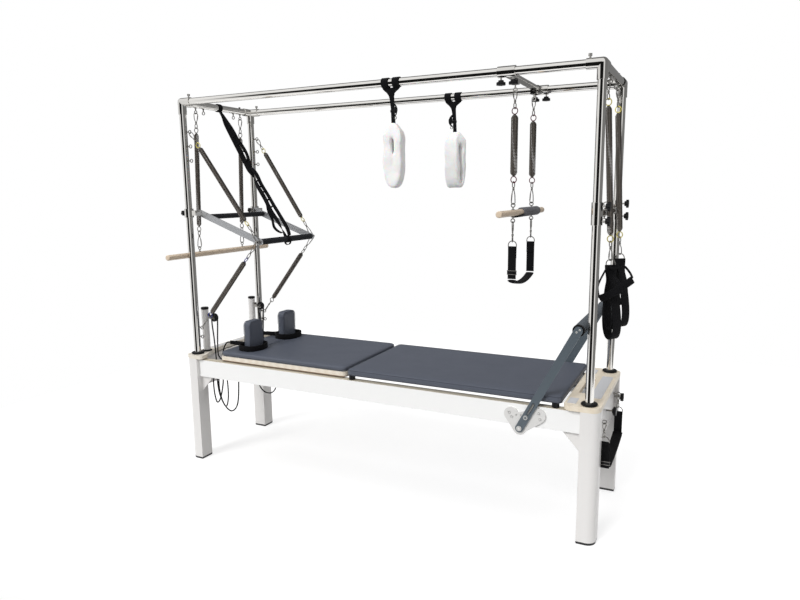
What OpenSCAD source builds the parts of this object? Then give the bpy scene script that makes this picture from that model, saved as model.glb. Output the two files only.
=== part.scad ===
// Pilates trapeze table with a sliding carriage. Millimetres, +Z up, +X toward the foot bar
// end, +Y to the rear. The floor is z = 0 and the middle of the plan is x = 0, y = 0.

/* [Frame] */
// distance between the left and right uprights, centre to centre
span_x = 2300; // [2240:10:2360]
// distance between the front and rear uprights, centre to centre
span_y = 595; // [585:5:625]
// height of the centre line of the top rails
rail_z = 2110; // [2080:5:2160]
// outside diameter of the canopy tubes
tube_d = 38; // [36:1:40]
// wall of the canopy tubes
tube_wall = 2; // [1.5:0.5:3]

/* [Base] */
// width of a leg along the length of the bed
leg_w = 84; // [80:1:90]
// height of the side rails
side_h = 102; // [90:1:106]
// top of the end platforms above the floor
plat_z = 650; // [645:1:655]
// thickness of the end platforms
plat_t = 22; // [18:1:24]

/* [Bed] */
// thickness of the upholstery on the carriage
pad_t = 28; // [22:1:30]
// thickness of the mat insert
mat_t = 35; // [30:1:38]
// width of the mat insert across the bed
mat_w = 644; // [600:2:650]
// height of the shoulder rests above the pad
rest_h = 176; // [140:2:180]

/* [Springs] */
// outside diameter of the long springs
coil_d = 25; // [22:1:26]
// wire of the springs as modelled
coil_wire = 5; // [3:0.5:6]

/* [Hidden] */
$fn = 48;
hx = span_x / 2;
hy = span_y / 2;
tr = tube_d / 2;
fit = 0.3;

side_top = 621;
side_bot = side_top - side_h;
side_out = hy + 28;
side_in = hy - 17;
leg_in_x = 30;
leg_out_x = leg_w - leg_in_x;
leg_in_y = 36;
leg_out_y = 48;
leg_x = hx - leg_in_x;
plat_bot = plat_z - plat_t;
foot_t = 6;
corner_r = 42;

deck_z = 627;
deck_t = 28;
deck_x0 = -975;
deck_x1 = -112;
deck_hw = 305;
pad_z = deck_z + deck_t;
mat_z = side_top + 21;
mat_x0 = -102;
mat_x1 = 1036;
track_z = 576;
wheel_r = 24;
axle_z = track_z + wheel_r + 0.05;

rest_x = -829;
rest_y = deck_hw - 141;
rest_w = 132;

white = [0.93, 0.93, 0.92];
steel = [0.75, 0.76, 0.78];
slate = [0.38, 0.41, 0.46];
black = [0.12, 0.12, 0.13];
timber = [0.86, 0.77, 0.62];
cream = [0.90, 0.86, 0.76];

// choose one piece, or all

function unit(v) = v / norm(v);

// moves its children so that their local +Z runs from a to b
module along(a, b) {
  d = b - a;
  translate(a) rotate([0, acos(d[2] / norm(d)), atan2(d[1], d[0])]) children();
}
module pipe(a, b, d, wall) {
  along(a, b) difference() {
    cylinder(h = norm(b - a), d = d);
    translate([0, 0, -1]) cylinder(h = norm(b - a) + 2, d = d - 2 * wall);
  }
}
// a closed ring of round wire lying in the local XY plane
module hoop(r, w) { rotate_extrude() translate([r, 0]) circle(d = w, $fn = 24); }
// a long link in the local YZ plane, from its lowest wire centre at z = 0 to z = len
module link(len, r, w) {
  rotate([90, 0, 90]) {
    translate([0, r, 0]) rotate([0, 0, 180]) rotate_extrude(angle = 180)
      translate([r, 0]) circle(d = w, $fn = 24);
    translate([0, len - r, 0]) rotate_extrude(angle = 180)
      translate([r, 0]) circle(d = w, $fn = 24);
    for (s = [-1, 1]) translate([s * r, r, 0]) rotate([-90, 0, 0])
      cylinder(h = len - 2 * r, d = w, $fn = 24);
  }
}
// screw eye: shank from the origin along local +Z, ring beyond it in the local XZ plane
module eyebolt(shank, r = 9, w = 5) {
  cylinder(h = shank, d = 7);
  cylinder(h = 4, d = 13, $fn = 6);
  translate([0, 0, shank + r]) rotate([90, 0, 0]) hoop(r, w);
}
// five-lobed head of a hand knob
module knob_head(d, h) {
  linear_extrude(h) difference() {
    circle(d = d);
    for (a = [0 : 72 : 359]) rotate(a) translate([d * 0.6, 0]) circle(d = d * 0.36);
  }
}
module knob(d = 38, stem = 14) {
  cylinder(h = stem, d = 8);
  translate([0, 0, stem]) cylinder(h = 8, d1 = d * 0.55, d2 = d * 0.62, $fn = 48);
  translate([0, 0, stem + 8]) knob_head(d, 8);
}

// tube swept along points; sides n
function frame_n(u, t) = unit(u - (u * t) * t);
module sweep(pts, ref, d, n) {
  m = len(pts);
  tang = [for (i = [0 : m - 1]) unit(pts[min(i + 1, m - 1)] - pts[max(i - 1, 0)])];
  verts = [for (i = [0 : m - 1]) let (a = frame_n(ref[i], tang[i]), b = cross(tang[i], a))
    for (k = [0 : n - 1]) pts[i] + (d / 2) * (cos(360 * k / n) * a + sin(360 * k / n) * b)];
  sides = [for (i = [0 : m - 2]) for (k = [0 : n - 1]) let (
      p = i * n + k, q = i * n + (k + 1) % n, r = q + n, s = p + n) each [[p, s, q], [q, s, r]]];
  ends = [for (k = [1 : n - 2]) each [[0, k, k + 1], [(m - 1) * n, (m - 1) * n + k + 1,
      (m - 1) * n + k]]];
  polyhedron(points = verts, faces = concat(sides, ends), convexity = 10);
}

// open-wound spring along local +Z between z = 0 and z = h; 8 rings to each curl
curls = 6;
function coil_r(t, rm) = rm * min(1, t * 2, (curls - t) * 2);
function coil_pts(h, rm, w) = concat([[0, 0, 0]],
  [for (i = [0 : curls * 8]) let (t = i / 8, r = coil_r(t, rm))
    [r * cos(360 * t), r * sin(360 * t), w + (h - 2 * w) * t / curls]], [[0, 0, h]]);
function coil_ref() = concat([[1, 0, 0]],
  [for (i = [0 : curls * 8]) [cos(45 * i), sin(45 * i), 0]], [[1, 0, 0]]);
function coil_gap(h, rm, w) = let (p = coil_pts(h, rm, w)) min([for (i = [1 : curls * 8 - 7])
  for (j = [i + 6 : min(i + 12, curls * 8)]) norm(p[i] - p[j])]) - w;
module coil(h, d, w) { sweep(coil_pts(h, (d - w) / 2, w), coil_ref(), w, 6); }

// flat D shaped ring hung by its round side from local z = 0, its straight bar at -d_drop; the
// hook's bend is d_gap below it, which clears the ring's square edges
d_gap = 0.8;
d_r = 22;
d_wire = 4.5;
d_drop = d_r - d_wire + 10;
module d_ring() {
  translate([0, 2.5, d_wire - d_r]) rotate([90, 0, 0]) linear_extrude(5) difference() {
    union() {
      circle(r = d_r);
      translate([-d_r, -10]) square([2 * d_r, 10]);
    }
    circle(r = d_r - d_wire);
    translate([d_wire - d_r, d_wire - 10]) square([2 * (d_r - d_wire), 10 - d_wire]);
    translate([-d_r - 1, -d_r - 11]) square([2 * d_r + 2, d_r + 1]);
  }
}

// spring with a ring and a long hook at each end, between two eyes whose centres are local z = 0
// and z = h; l0 and l1 are the hook lengths. With pin > 0 the far hook goes round a pin of that
// radius, which lies along local Y, instead of through an eye.
eye_r = 9;
eye_w = 5;
hook_w = 4;
hook_r = 7;
ring_r = 11;
ring_w = 4;
hook_z0 = eye_r - eye_w / 2 - hook_w / 2 - fit;
// from an eye's centre to the near end of the coil
function lead(l) = hook_z0 + l - hook_w / 2 - ring_w / 2 - fit + 2 * ring_r + ring_w / 2 + fit;
module hook_and_ring(l, z0) {
  translate([0, 0, z0]) link(l - z0 + hook_z0, hook_r, hook_w);
  translate([0, 0, hook_z0 + l - hook_w / 2 - ring_w / 2 - fit + ring_r])
    rotate([90, 0, 0]) hoop(ring_r, ring_w);
}
module hung_spring(h, d, l0, l1, pin = 0) {
  hook_and_ring(l0, hook_z0);
  translate([0, 0, h]) mirror([0, 0, 1]) rotate([0, 0, pin > 0 ? 90 : 0])
    hook_and_ring(l1, pin > 0 ? -pin - hook_w / 2 - fit : hook_z0);
  translate([0, 0, lead(l0)]) coil(h - lead(l0) - lead(l1), d, coil_wire);
}

// upholstered block with crowned top and drawn-in sides: closed rings of n points
function rrect(hw, hd, r, n) = [for (k = [0 : n - 1]) let (
    q = floor(k / (n / 4)), a = q * 90 + (k % (n / 4)) * 90 / (n / 4 - 1),
    sx = (q == 0 || q == 3) ? 1 : -1, sy = (q < 2) ? 1 : -1)
  [sx * (hw - r) + r * cos(a), sy * (hd - r) + r * sin(a)]];
module cushion(w, d, h, r, crown = 4, bulge = 3) {
  n = 20;
  // each level: height, inset of the outline
  levels = [[0, 5], [h * 0.12, 1], [h * 0.45, 0], [h * 0.75, 0.4], [h * 0.9, bulge],
    [h - crown * 0.5, 7 + bulge], [h - crown * 0.3, 30], [h, min(w, d) * 0.34]];
  m = len(levels);
  verts = [for (l = levels) for (p = rrect(w / 2 - l[1], d / 2 - l[1],
      max(2, r - l[1] * 0.6), n)) [p[0], p[1], l[0]]];
  sides = [for (i = [0 : m - 2]) for (k = [0 : n - 1]) let (
      a = i * n + k, b = i * n + (k + 1) % n) each [[a, a + n, b], [b, a + n, b + n]]];
  ends = [for (k = [1 : n - 2]) each [[0, k, k + 1], [(m - 1) * n, (m - 1) * n + k + 1,
      (m - 1) * n + k]]];
  polyhedron(points = verts, faces = concat(sides, ends), convexity = 4);
}

// plan of a leg, its rounded corner toward +X +Y, drawn in by g
module leg_plan(g) {
  r = corner_r - g;
  translate([-leg_in_x + g, -leg_in_y + g])
    square([leg_w - corner_r - g, leg_in_y + leg_out_y - 2 * g]);
  translate([-leg_in_x + g, -leg_in_y + g])
    square([leg_w - 2 * g, leg_in_y + leg_out_y - corner_r - g]);
  translate([leg_out_x - corner_r, leg_out_y - corner_r]) circle(r = r);
}
// one leg; sx and sy give the corner that it stands in
module leg(sx, sy) {
  translate([sx * hx, sy * hy, 0]) mirror([sx < 0 ? 1 : 0, 0, 0])
    mirror([0, sy < 0 ? 1 : 0, 0]) {
      difference() {
        translate([0, 0, foot_t]) linear_extrude(plat_bot - foot_t) leg_plan(0);
        translate([0, 0, foot_t + 4]) linear_extrude(plat_bot - foot_t) leg_plan(3);
      }
      // triangular stiffener under the side rail
      translate([-leg_in_x, 12, side_bot]) rotate([90, 0, 0]) linear_extrude(6)
        polygon([[0, 0], [0, -95], [-86, 0]]);
    }
}
module leg_front_left() { color(white) leg(-1, -1); }
module leg_rear_left() { color(white) leg(-1, 1); }
module leg_front_right() { color(white) leg(1, -1); }
module leg_rear_right() { color(white) leg(1, 1); }
module leg_feet() {
  color(black) for (sx = [-1, 1]) for (sy = [-1, 1])
    translate([sx * hx, sy * hy, 0]) mirror([sx < 0 ? 1 : 0, 0, 0])
      mirror([0, sy < 0 ? 1 : 0, 0]) linear_extrude(foot_t) leg_plan(1);
}

module side_rail(sy) {
  l = 2 * leg_x;
  w = side_out - side_in;
  translate([0, sy * (side_out + side_in) / 2, (side_top + side_bot) / 2]) difference() {
    cube([l, w, side_h], center = true);
    cube([l + 2, w - 6, side_h - 6], center = true);
  }
}
module side_rail_front() { color(white) side_rail(-1); }
module side_rail_rear() { color(white) side_rail(1); }

// end rails between the legs, with the deep face panel seen below the platform
end_low = 430;
module end_rails() {
  color(white) for (s = [-1, 1]) {
    translate([s * (hx + 8) - 20, -(hy - leg_in_y), side_bot])
      difference() {
        cube([40, 2 * (hy - leg_in_y), side_h]);
        translate([3, -1, 3]) cube([34, 2 * hy, side_h - 6]);
      }
    translate([s > 0 ? hx + 28 : -hx - 34, -(hy - leg_in_y), end_low])
      cube([6, 2 * (hy - leg_in_y), plat_bot - end_low]);
  }
}

// end platforms: outer corners rounded like the legs, holes for the uprights
left_edge = hx - 67;
bow_r = 634;
slot_x = hx - 78;
slot_w = 40;
slot_l = 260;
module plat_plan(inner, r_in) {
  w = hy + leg_out_y;
  x1 = hx + leg_out_x;
  translate([inner + r_in, -w]) square([x1 - corner_r - inner - r_in, 2 * w]);
  translate([inner, -w + r_in]) square([x1 - inner, 2 * (w - corner_r)]);
  translate([inner, -w + corner_r]) square([x1 - inner, 2 * (w - corner_r)]);
  for (s = [-1, 1]) {
    translate([x1 - corner_r, s * (w - corner_r)]) circle(r = corner_r);
    translate([inner + r_in, s * (w - r_in)]) circle(r = r_in);
  }
}
module platform_right() {
  color(cream) difference() {
    translate([0, 0, plat_bot]) linear_extrude(plat_t) plat_plan(mat_x1 + 4, 42);
    for (s = [-1, 1]) translate([hx, s * hy, 0]) cylinder(h = 700, r = tr + 0.5);
    // slot over the spring bar
    translate([slot_x, -slot_l / 2, 600]) cube([slot_w, slot_l, 100]);
  }
}
module platform_left() {
  color(cream) difference() {
    translate([0, 0, plat_bot]) linear_extrude(plat_t) mirror([1, 0]) plat_plan(left_edge, 20);
    for (s = [-1, 1]) translate([-hx, s * hy, 0]) cylinder(h = 700, r = tr + 0.5);
    // bowed inner edge that leaves room for the ropes
    translate([-left_edge + bow_r - 74, 0, 600]) cylinder(h = 100, r = bow_r, $fn = 96);
  }
}
module grip_pads() {
  color([0.78, 0.79, 0.81]) {
    translate([hx - 18, -190, plat_z]) cube([52, 380, 1.5]);
    for (s = [-1, 1]) translate([1052, s * 262 - 40, plat_z]) cube([40, 80, 1.5]);
    translate([-hx - 40, -150, plat_z]) cube([30, 300, 1.5]);
  }
}

module carriage_tracks() {
  color(steel) for (s = [-1, 1]) difference() {
    translate([-leg_x + 10, s > 0 ? side_in - 27 : -side_in, track_z - 24])
      cube([2 * leg_x - 20, 27, 24]);
    translate([-leg_x, s > 0 ? side_in - 28 : -side_in + 4, track_z - 20])
      cube([2 * leg_x, 24, 16]);
  }
}

module upright(sx, sy) {
  pipe([sx * hx, sy * hy, plat_bot - 68], [sx * hx, sy * hy, rail_z - tr - 2], tube_d, tube_wall);
}
module upright_front_left() { color(steel) upright(-1, -1); }
module upright_rear_left() { color(steel) upright(-1, 1); }
module upright_front_right() { color(steel) upright(1, -1); }
module upright_rear_right() { color(steel) upright(1, 1); }
module flange_collars() {
  color(black) for (sx = [-1, 1]) for (sy = [-1, 1]) translate([sx * hx, sy * hy, plat_z])
    rotate_extrude() {
      translate([tr, 0]) square([12, 12]);
      translate([tr + 12, 6]) circle(r = 6);
    }
}

top_gap = tr + 2;
module top_rail(sy) {
  pipe([-hx + top_gap, sy * hy, rail_z], [hx - top_gap, sy * hy, rail_z], tube_d, tube_wall);
}
module top_rail_front() { color(steel) top_rail(-1); }
module top_rail_rear() { color(steel) top_rail(1); }
module crossbars() {
  color(steel) for (x = [-hx, hx])
    pipe([x, -hy + top_gap, rail_z], [x, hy - top_gap, rail_z], tube_d, tube_wall);
}
module corner_fittings() {
  sleeve = 66;
  color(steel) for (sx = [-1, 1]) for (sy = [-1, 1]) translate([sx * hx, sy * hy, rail_z])
    mirror([sx < 0 ? 1 : 0, 0, 0]) mirror([0, sy < 0 ? 1 : 0, 0]) {
      difference() {
        union() {
          sphere(r = tr + 4);
          rotate([0, -90, 0]) cylinder(h = sleeve, r = tr + 4);
          rotate([90, 0, 0]) cylinder(h = sleeve, r = tr + 4);
          rotate([180, 0, 0]) cylinder(h = sleeve, r = tr + 4);
        }
        translate([-top_gap, 0, 0]) rotate([0, -90, 0]) cylinder(h = 90, r = tr + 0.15);
        translate([0, -top_gap, 0]) rotate([90, 0, 0]) cylinder(h = 90, r = tr + 0.15);
        translate([0, 0, -top_gap]) rotate([180, 0, 0]) cylinder(h = 90, r = tr + 0.15);
      }
      // thumb screw on the sleeve of the top rail
      translate([-52, 0, tr + 4]) cylinder(h = 16, d = 9);
      translate([-52, 0, tr + 12]) cylinder(h = 10, d = 16);
    }
}

// places of the two knobs on the end face, as y and z
end_knobs = [[-13, 541], [254, 532]];
// eyes on the frame: each entry is the foot of the shank and its direction
eye_out = 16;
left_eyes_z = [1945, 1865, 1785, 812, 757];
hang_y = 194;
arm_y = 149;
function eye_c(p, d) = p + (eye_out + eye_r) * d;
module frame_eyebolts() {
  color(steel) {
    for (s = [-1, 1]) for (z = left_eyes_z)
      translate([-hx + tr, s * hy, z]) rotate([0, 90, 0]) eyebolt(eye_out);
    for (y = [-hang_y, -131, 131, hang_y])
      translate([-hx, y, rail_z - tr]) rotate([180, 0, 0]) eyebolt(eye_out);
    for (y = [-arm_y, -arm_y + 60, arm_y - 60, arm_y])
      translate([hx, y, rail_z - tr]) rotate([180, 0, 0]) eyebolt(eye_out);
    for (y = [-hang_y, hang_y]) translate([-hx, y, rail_z + tr]) cylinder(h = 7, d = 12);
    for (y = [-arm_y, arm_y]) translate([hx, y, rail_z + tr]) cylinder(h = 7, d = 12);
    // eyes and studs of the end face, where the end sling hangs
    for (y = [-end_y, end_y]) translate([hx + 34, y, 556]) rotate([0, 90, 0]) eyebolt(eye_out);
    for (p = end_knobs) translate([hx + 34, p[0], p[1]]) rotate([0, 90, 0])
      cylinder(h = 30, d = 8);
  }
  color(black) for (p = end_knobs) translate([hx + 63, p[0], p[1]]) rotate([0, 90, 0]) {
    cylinder(h = 8, d = 22);
    translate([0, 0, 6]) knob_head(36, 10);
  }
}

// carriage
cleat_x = -940;
module carriage_deck() {
  w = deck_x1 - deck_x0;
  color(timber) {
    translate([(deck_x0 + deck_x1) / 2, 0, deck_z]) linear_extrude(deck_t) {
      square([w - 60, 2 * deck_hw], center = true);
      square([w, 2 * deck_hw - 60], center = true);
      for (sx = [-1, 1]) for (sy = [-1, 1])
        translate([sx * (w / 2 - 30), sy * (deck_hw - 30)]) circle(r = 30);
    }
    // bearers under the deck that carry the axles
    for (x = [deck_x0 + 110, deck_x1 - 110]) for (s = [-1, 1]) difference() {
      translate([x - 16, s * 236 - 10, 585]) cube([32, 20, deck_z - 585]);
      translate([x, s * 236 - 11, axle_z]) rotate([-90, 0, 0]) cylinder(h = 22, d = 10.1);
    }
    // cleats that hold the ropes
    for (s = [-1, 1]) translate([cleat_x, s * riser_y - 10, 594]) cube([20, 20, deck_z - 594]);
  }
}
head_x1 = -802;
head_hw = 86;
module carriage_pad() {
  w = deck_x1 - deck_x0;
  color(slate) difference() {
    translate([(deck_x0 + deck_x1) / 2, 0, pad_z]) cushion(w, 2 * deck_hw, pad_t, 34, 2, 3);
    translate([deck_x0 - 10, -head_hw - 1.5, pad_z - 1])
      cube([head_x1 - deck_x0 + 12, 2 * head_hw + 3, pad_t + 40]);
  }
}
module headrest() {
  w = head_x1 - deck_x0 - 1;
  color(slate) translate([deck_x0 + w / 2 + 1, 0, pad_z + fit])
    cushion(w, 2 * head_hw, pad_t, 12, 2, 3);
}
module shoulder_rest(s) {
  color(slate) translate([rest_x, s * rest_y, pad_z + pad_t + fit]) {
    // upholstered block, wider than it is thick
    cushion(49, rest_w, rest_h, 20, 3, 2);
  }
}
module shoulder_rest_front() { shoulder_rest(-1); }
module shoulder_rest_rear() { shoulder_rest(1); }
// webbing loop lying round the foot of each rest, with its tail toward the head end
module shoulder_straps() {
  z = pad_z + pad_t + fit;
  color(black) for (s = [-1, 1]) translate([rest_x + 2, s * rest_y, z]) {
    difference() {
      linear_extrude(26) {
        square([72, 76], center = true);
        for (e = [-1, 1]) translate([0, e * 38]) circle(r = 36);
      }
      translate([0, 0, -1]) linear_extrude(28) {
        square([62, 76], center = true);
        for (e = [-1, 1]) translate([0, e * 38]) circle(r = 31);
      }
    }
    translate([-203, s * -16 - 4, 4]) cube([169, 8, 20]);
  }
}
module wheel_set(x) {
  color(black) for (s = [-1, 1]) translate([x, s * (side_in - 13), axle_z])
    rotate([90, 0, 0]) difference() {
      union() {
        cylinder(h = 16, r = wheel_r, center = true);
        cylinder(h = 22, r = 10, center = true);
        translate([0, 0, s * 5]) cylinder(h = 32, r = 8, center = true);
      }
      cylinder(h = 60, d = 10, center = true);
    }
  color(steel) translate([x, 0, axle_z]) rotate([90, 0, 0])
    cylinder(h = 2 * (side_in - 1.5), d = 10, center = true);
}
module wheel_set_left() { wheel_set(deck_x0 + 110); }
module wheel_set_right() { wheel_set(deck_x1 - 110); }
// unhooked resistance springs lying under the carriage, each held by a bracket at both ends
module carriage_springs() {
  z = deck_z - 11;
  color(steel) for (k = [-2 : 2]) {
    translate([deck_x1 - 60, k * 62, z]) rotate([0, -90, 0]) cylinder(h = 430, d = 20);
    translate([deck_x1 - 60, k * 62, z]) rotate([0, 90, 0]) cylinder(h = 22, d = 6);
    for (x = [deck_x1 - 50, deck_x1 - 498]) translate([x, k * 62 - 8, z - 6])
      cube([10, 16, deck_z - z + 6]);
  }
}
// bar across the frame at the foot end, with a post for each spring
post_gap = 54;
module spring_bar() {
  color(steel) {
    translate([slot_x + 6, -side_in + 27, plat_bot - 83]) cube([24, 2 * side_in - 54, 30]);
    for (k = [-2 : 2]) translate([slot_x + 18, k * post_gap, plat_bot - 54]) {
      cylinder(h = 34, d = 8);
      translate([0, 0, 30]) cylinder(h = 7, d = 16);
    }
  }
}

module mat_insert() {
  w = mat_x1 - mat_x0;
  color(slate) translate([(mat_x0 + mat_x1) / 2, 0, mat_z]) cushion(w, mat_w, mat_t, 26, 2, 3);
}
module mat_insert_feet() {
  color(black) for (x = [mat_x0 + 30, mat_x1 - 34]) for (s = [-1, 1])
    translate([x, s * (hy + 4), side_top]) cylinder(h = mat_z - side_top, d = 34);
}

// foot bar
foot_px = 845;
foot_pz = 508;
foot_l = 546;
foot_ang = 62.4;
foot_tx = foot_px + foot_l * cos(foot_ang);
foot_tz = foot_pz + foot_l * sin(foot_ang);
plate_y = side_out;
plate_t = 8;
arm_t = 8;
arm_gap = 0.5;
module foot_bar_arms() {
  color([0.36, 0.42, 0.44]) for (s = [-1, 1])
    translate([foot_px, s > 0 ? plate_y + plate_t + arm_gap + arm_t : -plate_y - plate_t - arm_gap,
        foot_pz]) rotate([90, 0, 0]) rotate([0, 0, foot_ang]) difference() {
      linear_extrude(arm_t) {
        translate([0, -19]) square([foot_l, 38]);
        circle(r = 19);
        translate([foot_l, 0]) circle(r = 19);
      }
      translate([0, 0, -1]) cylinder(h = arm_t + 2, d = 16.1);
      // slot of the locking bolt
      for (u = [100, 134]) translate([u, 0, -1]) cylinder(h = arm_t + 2, d = 10);
      translate([100, -5, -1]) cube([34, 10, arm_t + 2]);
    }
  // heads of the locking bolts
  color(steel) for (s = [-1, 1]) translate([foot_px + 64 * cos(foot_ang),
      s * (plate_y + plate_t + arm_gap + arm_t), foot_pz + 64 * sin(foot_ang)])
    rotate([-90 * s, 0, 0]) cylinder(h = 6, d = 20);
}
foot_in = plate_y + plate_t + arm_gap;
sunk = [[-50, 68], [-38, 48]];
module foot_bar_roller() {
  color([0.30, 0.32, 0.33]) translate([foot_tx, 0, foot_tz]) rotate([90, 0, 0]) {
    cylinder(h = 2 * foot_in, d = 28, center = true);
    cylinder(h = 2 * foot_in - 8, d = 54, center = true);
  }
}
module foot_bar_brackets() {
  color(white) for (s = [-1, 1]) {
    translate([foot_px, s > 0 ? plate_y + plate_t : -plate_y, foot_pz]) rotate([90, 0, 0])
      difference() {
        linear_extrude(plate_t) {
          // heart-shaped plate
          translate([-42, 62]) circle(r = 34);
          translate([84, 70]) circle(r = 36);
          circle(r = 34);
          polygon([[-66, 38], [-42, 62], [22, 84], [84, 70], [108, 42], [30, -14], [0, 0],
            [-24, -24]]);
        }
        // stop holes for the locking bolt
        for (a = [62.4, 84, 106]) rotate([0, 0, a]) translate([62, 0, -1])
          cylinder(h = plate_t + 2, d = 8);
        // countersinks of the screws that the arm passes over
        for (p = sunk) translate([p[0], p[1], s > 0 ? -1 : plate_t - 4])
          cylinder(h = 5, d = 14);
      }
    // pivot bolt through the arm
    translate([foot_px, s * (plate_y + plate_t - 0.01), foot_pz]) rotate([-90 * s, 0, 0])
      cylinder(h = arm_gap + arm_t + 0.6, d = 16);
    translate([foot_px, s * (plate_y + plate_t + arm_gap + arm_t + 0.5), foot_pz])
      rotate([-90 * s, 0, 0]) cylinder(h = 5, d = 24);
  }
  color(steel) for (s = [-1, 1]) {
    for (p = [[88, 84], [94, 56]]) translate([foot_px + p[0], s * (plate_y + plate_t),
      foot_pz + p[1]]) rotate([-90 * s, 0, 0]) cylinder(h = 4, d = 12);
    for (p = sunk) translate([foot_px + p[0], s * (plate_y + plate_t - 4), foot_pz + p[1]])
      rotate([-90 * s, 0, 0]) cylinder(h = 3.6, d = 12);
  }
}

// push-through bar at the head end
push_px = -1108;
push_pz = 1489;
push_y = 252;
push_tx = -680;
push_tz = 1329;
push_t = 8;
push_ang = atan2(push_tz - push_pz, push_tx - push_px);
push_l = norm([push_tx - push_px, push_tz - push_pz]);
module push_bar_arms() {
  color([0.72, 0.73, 0.75]) for (s = [-1, 1])
    translate([push_px, s * push_y + push_t / 2, push_pz]) rotate([90, 0, 0])
      rotate([0, 0, push_ang]) difference() {
        linear_extrude(push_t) {
          translate([0, -18]) square([push_l, 36]);
          circle(r = 18);
          translate([push_l, 0]) circle(r = 18);
        }
        translate([0, 0, -1]) cylinder(h = push_t + 2, d = 12.1);
      }
}
module push_bar_grip() {
  color(black) translate([push_tx, 0, push_tz]) rotate([90, 0, 0])
    cylinder(h = 2 * (push_y - push_t / 2), d = 34, center = true);
  // end studs that the springs hook round
  color(steel) for (s = [-1, 1]) translate([push_tx, s * (push_y + push_t / 2), push_tz])
    rotate([-90 * s, 0, 0]) {
      cylinder(h = 3, d = 18);
      cylinder(h = 26, r = stud_r);
      translate([0, 0, 23]) cylinder(h = 3, d = 16);
    }
}
module push_bar_tie() {
  color(black) translate([push_px + 64 * cos(push_ang), 0, push_pz + 64 * sin(push_ang)])
    rotate([90, 0, 0]) cylinder(h = 2 * (push_y - push_t / 2), d = 30, center = true);
}
module push_bar_clamps() {
  for (s = [-1, 1]) {
    color(black) difference() {
      union() {
        translate([-hx, s * hy, push_pz - 25]) cylinder(h = 50, r = tr + 7);
        translate([-hx, s > 0 ? push_y + push_t / 2 + 0.5 : -hy - 8, push_pz - 14])
          cube([push_px + hx + 14, hy - push_y - push_t / 2 - 0.5 + 8, 28]);
      }
      translate([-hx, s * hy, push_pz - 60]) cylinder(h = 120, r = tr);
    }
    color(steel) translate([push_px, s * (push_y + push_t / 2 + 1), push_pz])
      rotate([90 * s, 0, 0]) cylinder(h = push_t + 1.5, d = 12);
    color(steel) translate([push_px, s * (push_y - push_t / 2 - 0.5), push_pz])
      rotate([90 * s, 0, 0]) cylinder(h = 5, d = 20);
    color(black) translate([-hx - tr - 6, s * hy, push_pz]) rotate([0, -90, 0]) knob(30, 8);
  }
}
// the four springs that load the push-through bar
stud_r = 4.5;
stud_y = [266, 274];
module push_bar_springs() {
  color(steel) for (s = [-1, 1]) {
    top = [-hx + tr + eye_out + eye_r, s * hy, left_eyes_z[0]];
    low = [-hx + tr + eye_out + eye_r, s * hy, left_eyes_z[3]];
    mu = [push_tx, s * stud_y[0], push_tz];
    ml = [push_tx, s * stud_y[1], push_tz];
    along(top, mu) hung_spring(norm(top - mu), coil_d, 84, 116, stud_r);
    along(low, ml) hung_spring(norm(low - ml), coil_d, 96, 121, stud_r);
  }
}
// webbing chain from the crossbar to the middle of the bar
module safety_strap() {
  color(black) {
    a = [-hx, 0, rail_z];
    b = [push_tx, 0, push_tz];
    d = unit(b - a);
    difference() {
      translate([a[0], 14, a[2]]) rotate([90, 0, 0]) cylinder(h = 28, r = tr + 4);
      translate([a[0], 15, a[2]]) rotate([90, 0, 0]) cylinder(h = 30, r = tr + fit);
    }
    difference() {
      translate([b[0], 14, b[2]]) rotate([90, 0, 0]) cylinder(h = 28, r = 17 + 4);
      translate([b[0], 15, b[2]]) rotate([90, 0, 0]) cylinder(h = 30, r = 17 + fit);
    }
    along(a + (tr + 3) * d, b - 20 * d) translate([-3, -13, 0])
      cube([6, 26, norm(b - a) - tr - 23]);
  }
}

// roll-down bar, hung outside the left uprights
roll_x = -hx - tr - 16.5;
roll_z = 1240;
hang_c = [-hx, 0, rail_z - tr - eye_out - eye_r];
module roll_down_bar() {
  color(timber) translate([roll_x, 0, roll_z]) rotate([90, 0, 0])
    cylinder(h = 906, d = 32, center = true);
  color(steel) for (s = [-1, 1]) translate([roll_x, s * hang_y, roll_z])
    along([0, 0, 0], roll_d) translate([0, 0, 15]) eyebolt(12);
}
roll_d = unit(hang_c - [roll_x, 0, roll_z]);
function coil_h(l, l0, l1) = l - lead(l0) - lead(l1);
echo(least_gap_of_springs = [for (c = [[coil_h(norm([push_tx + hx - tr - eye_out - eye_r,
    hy - stud_y[0], left_eyes_z[0] - push_tz]), 84, 116), coil_d],
  [coil_h(norm([push_tx + hx - tr - eye_out - eye_r, hy - stud_y[1], push_tz - left_eyes_z[3]]),
    96, 121), coil_d],
  [coil_h(norm(hang_c - [roll_x, 0, roll_z]) - 27 - eye_r, 93, 105), coil_d],
  [coil_h(trap_len, 84, 110), 30], [560, coil_d]]) coil_gap(c[0], (c[1] - coil_wire) / 2,
  coil_wire)]);
module roll_down_springs() {
  color(steel) for (s = [-1, 1]) {
    a = hang_c + [0, s * hang_y, 0];
    b = [roll_x, s * hang_y, roll_z] + (27 + eye_r) * roll_d;
    along(a, b) hung_spring(norm(b - a), coil_d, 93, 105);
  }
}

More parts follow.
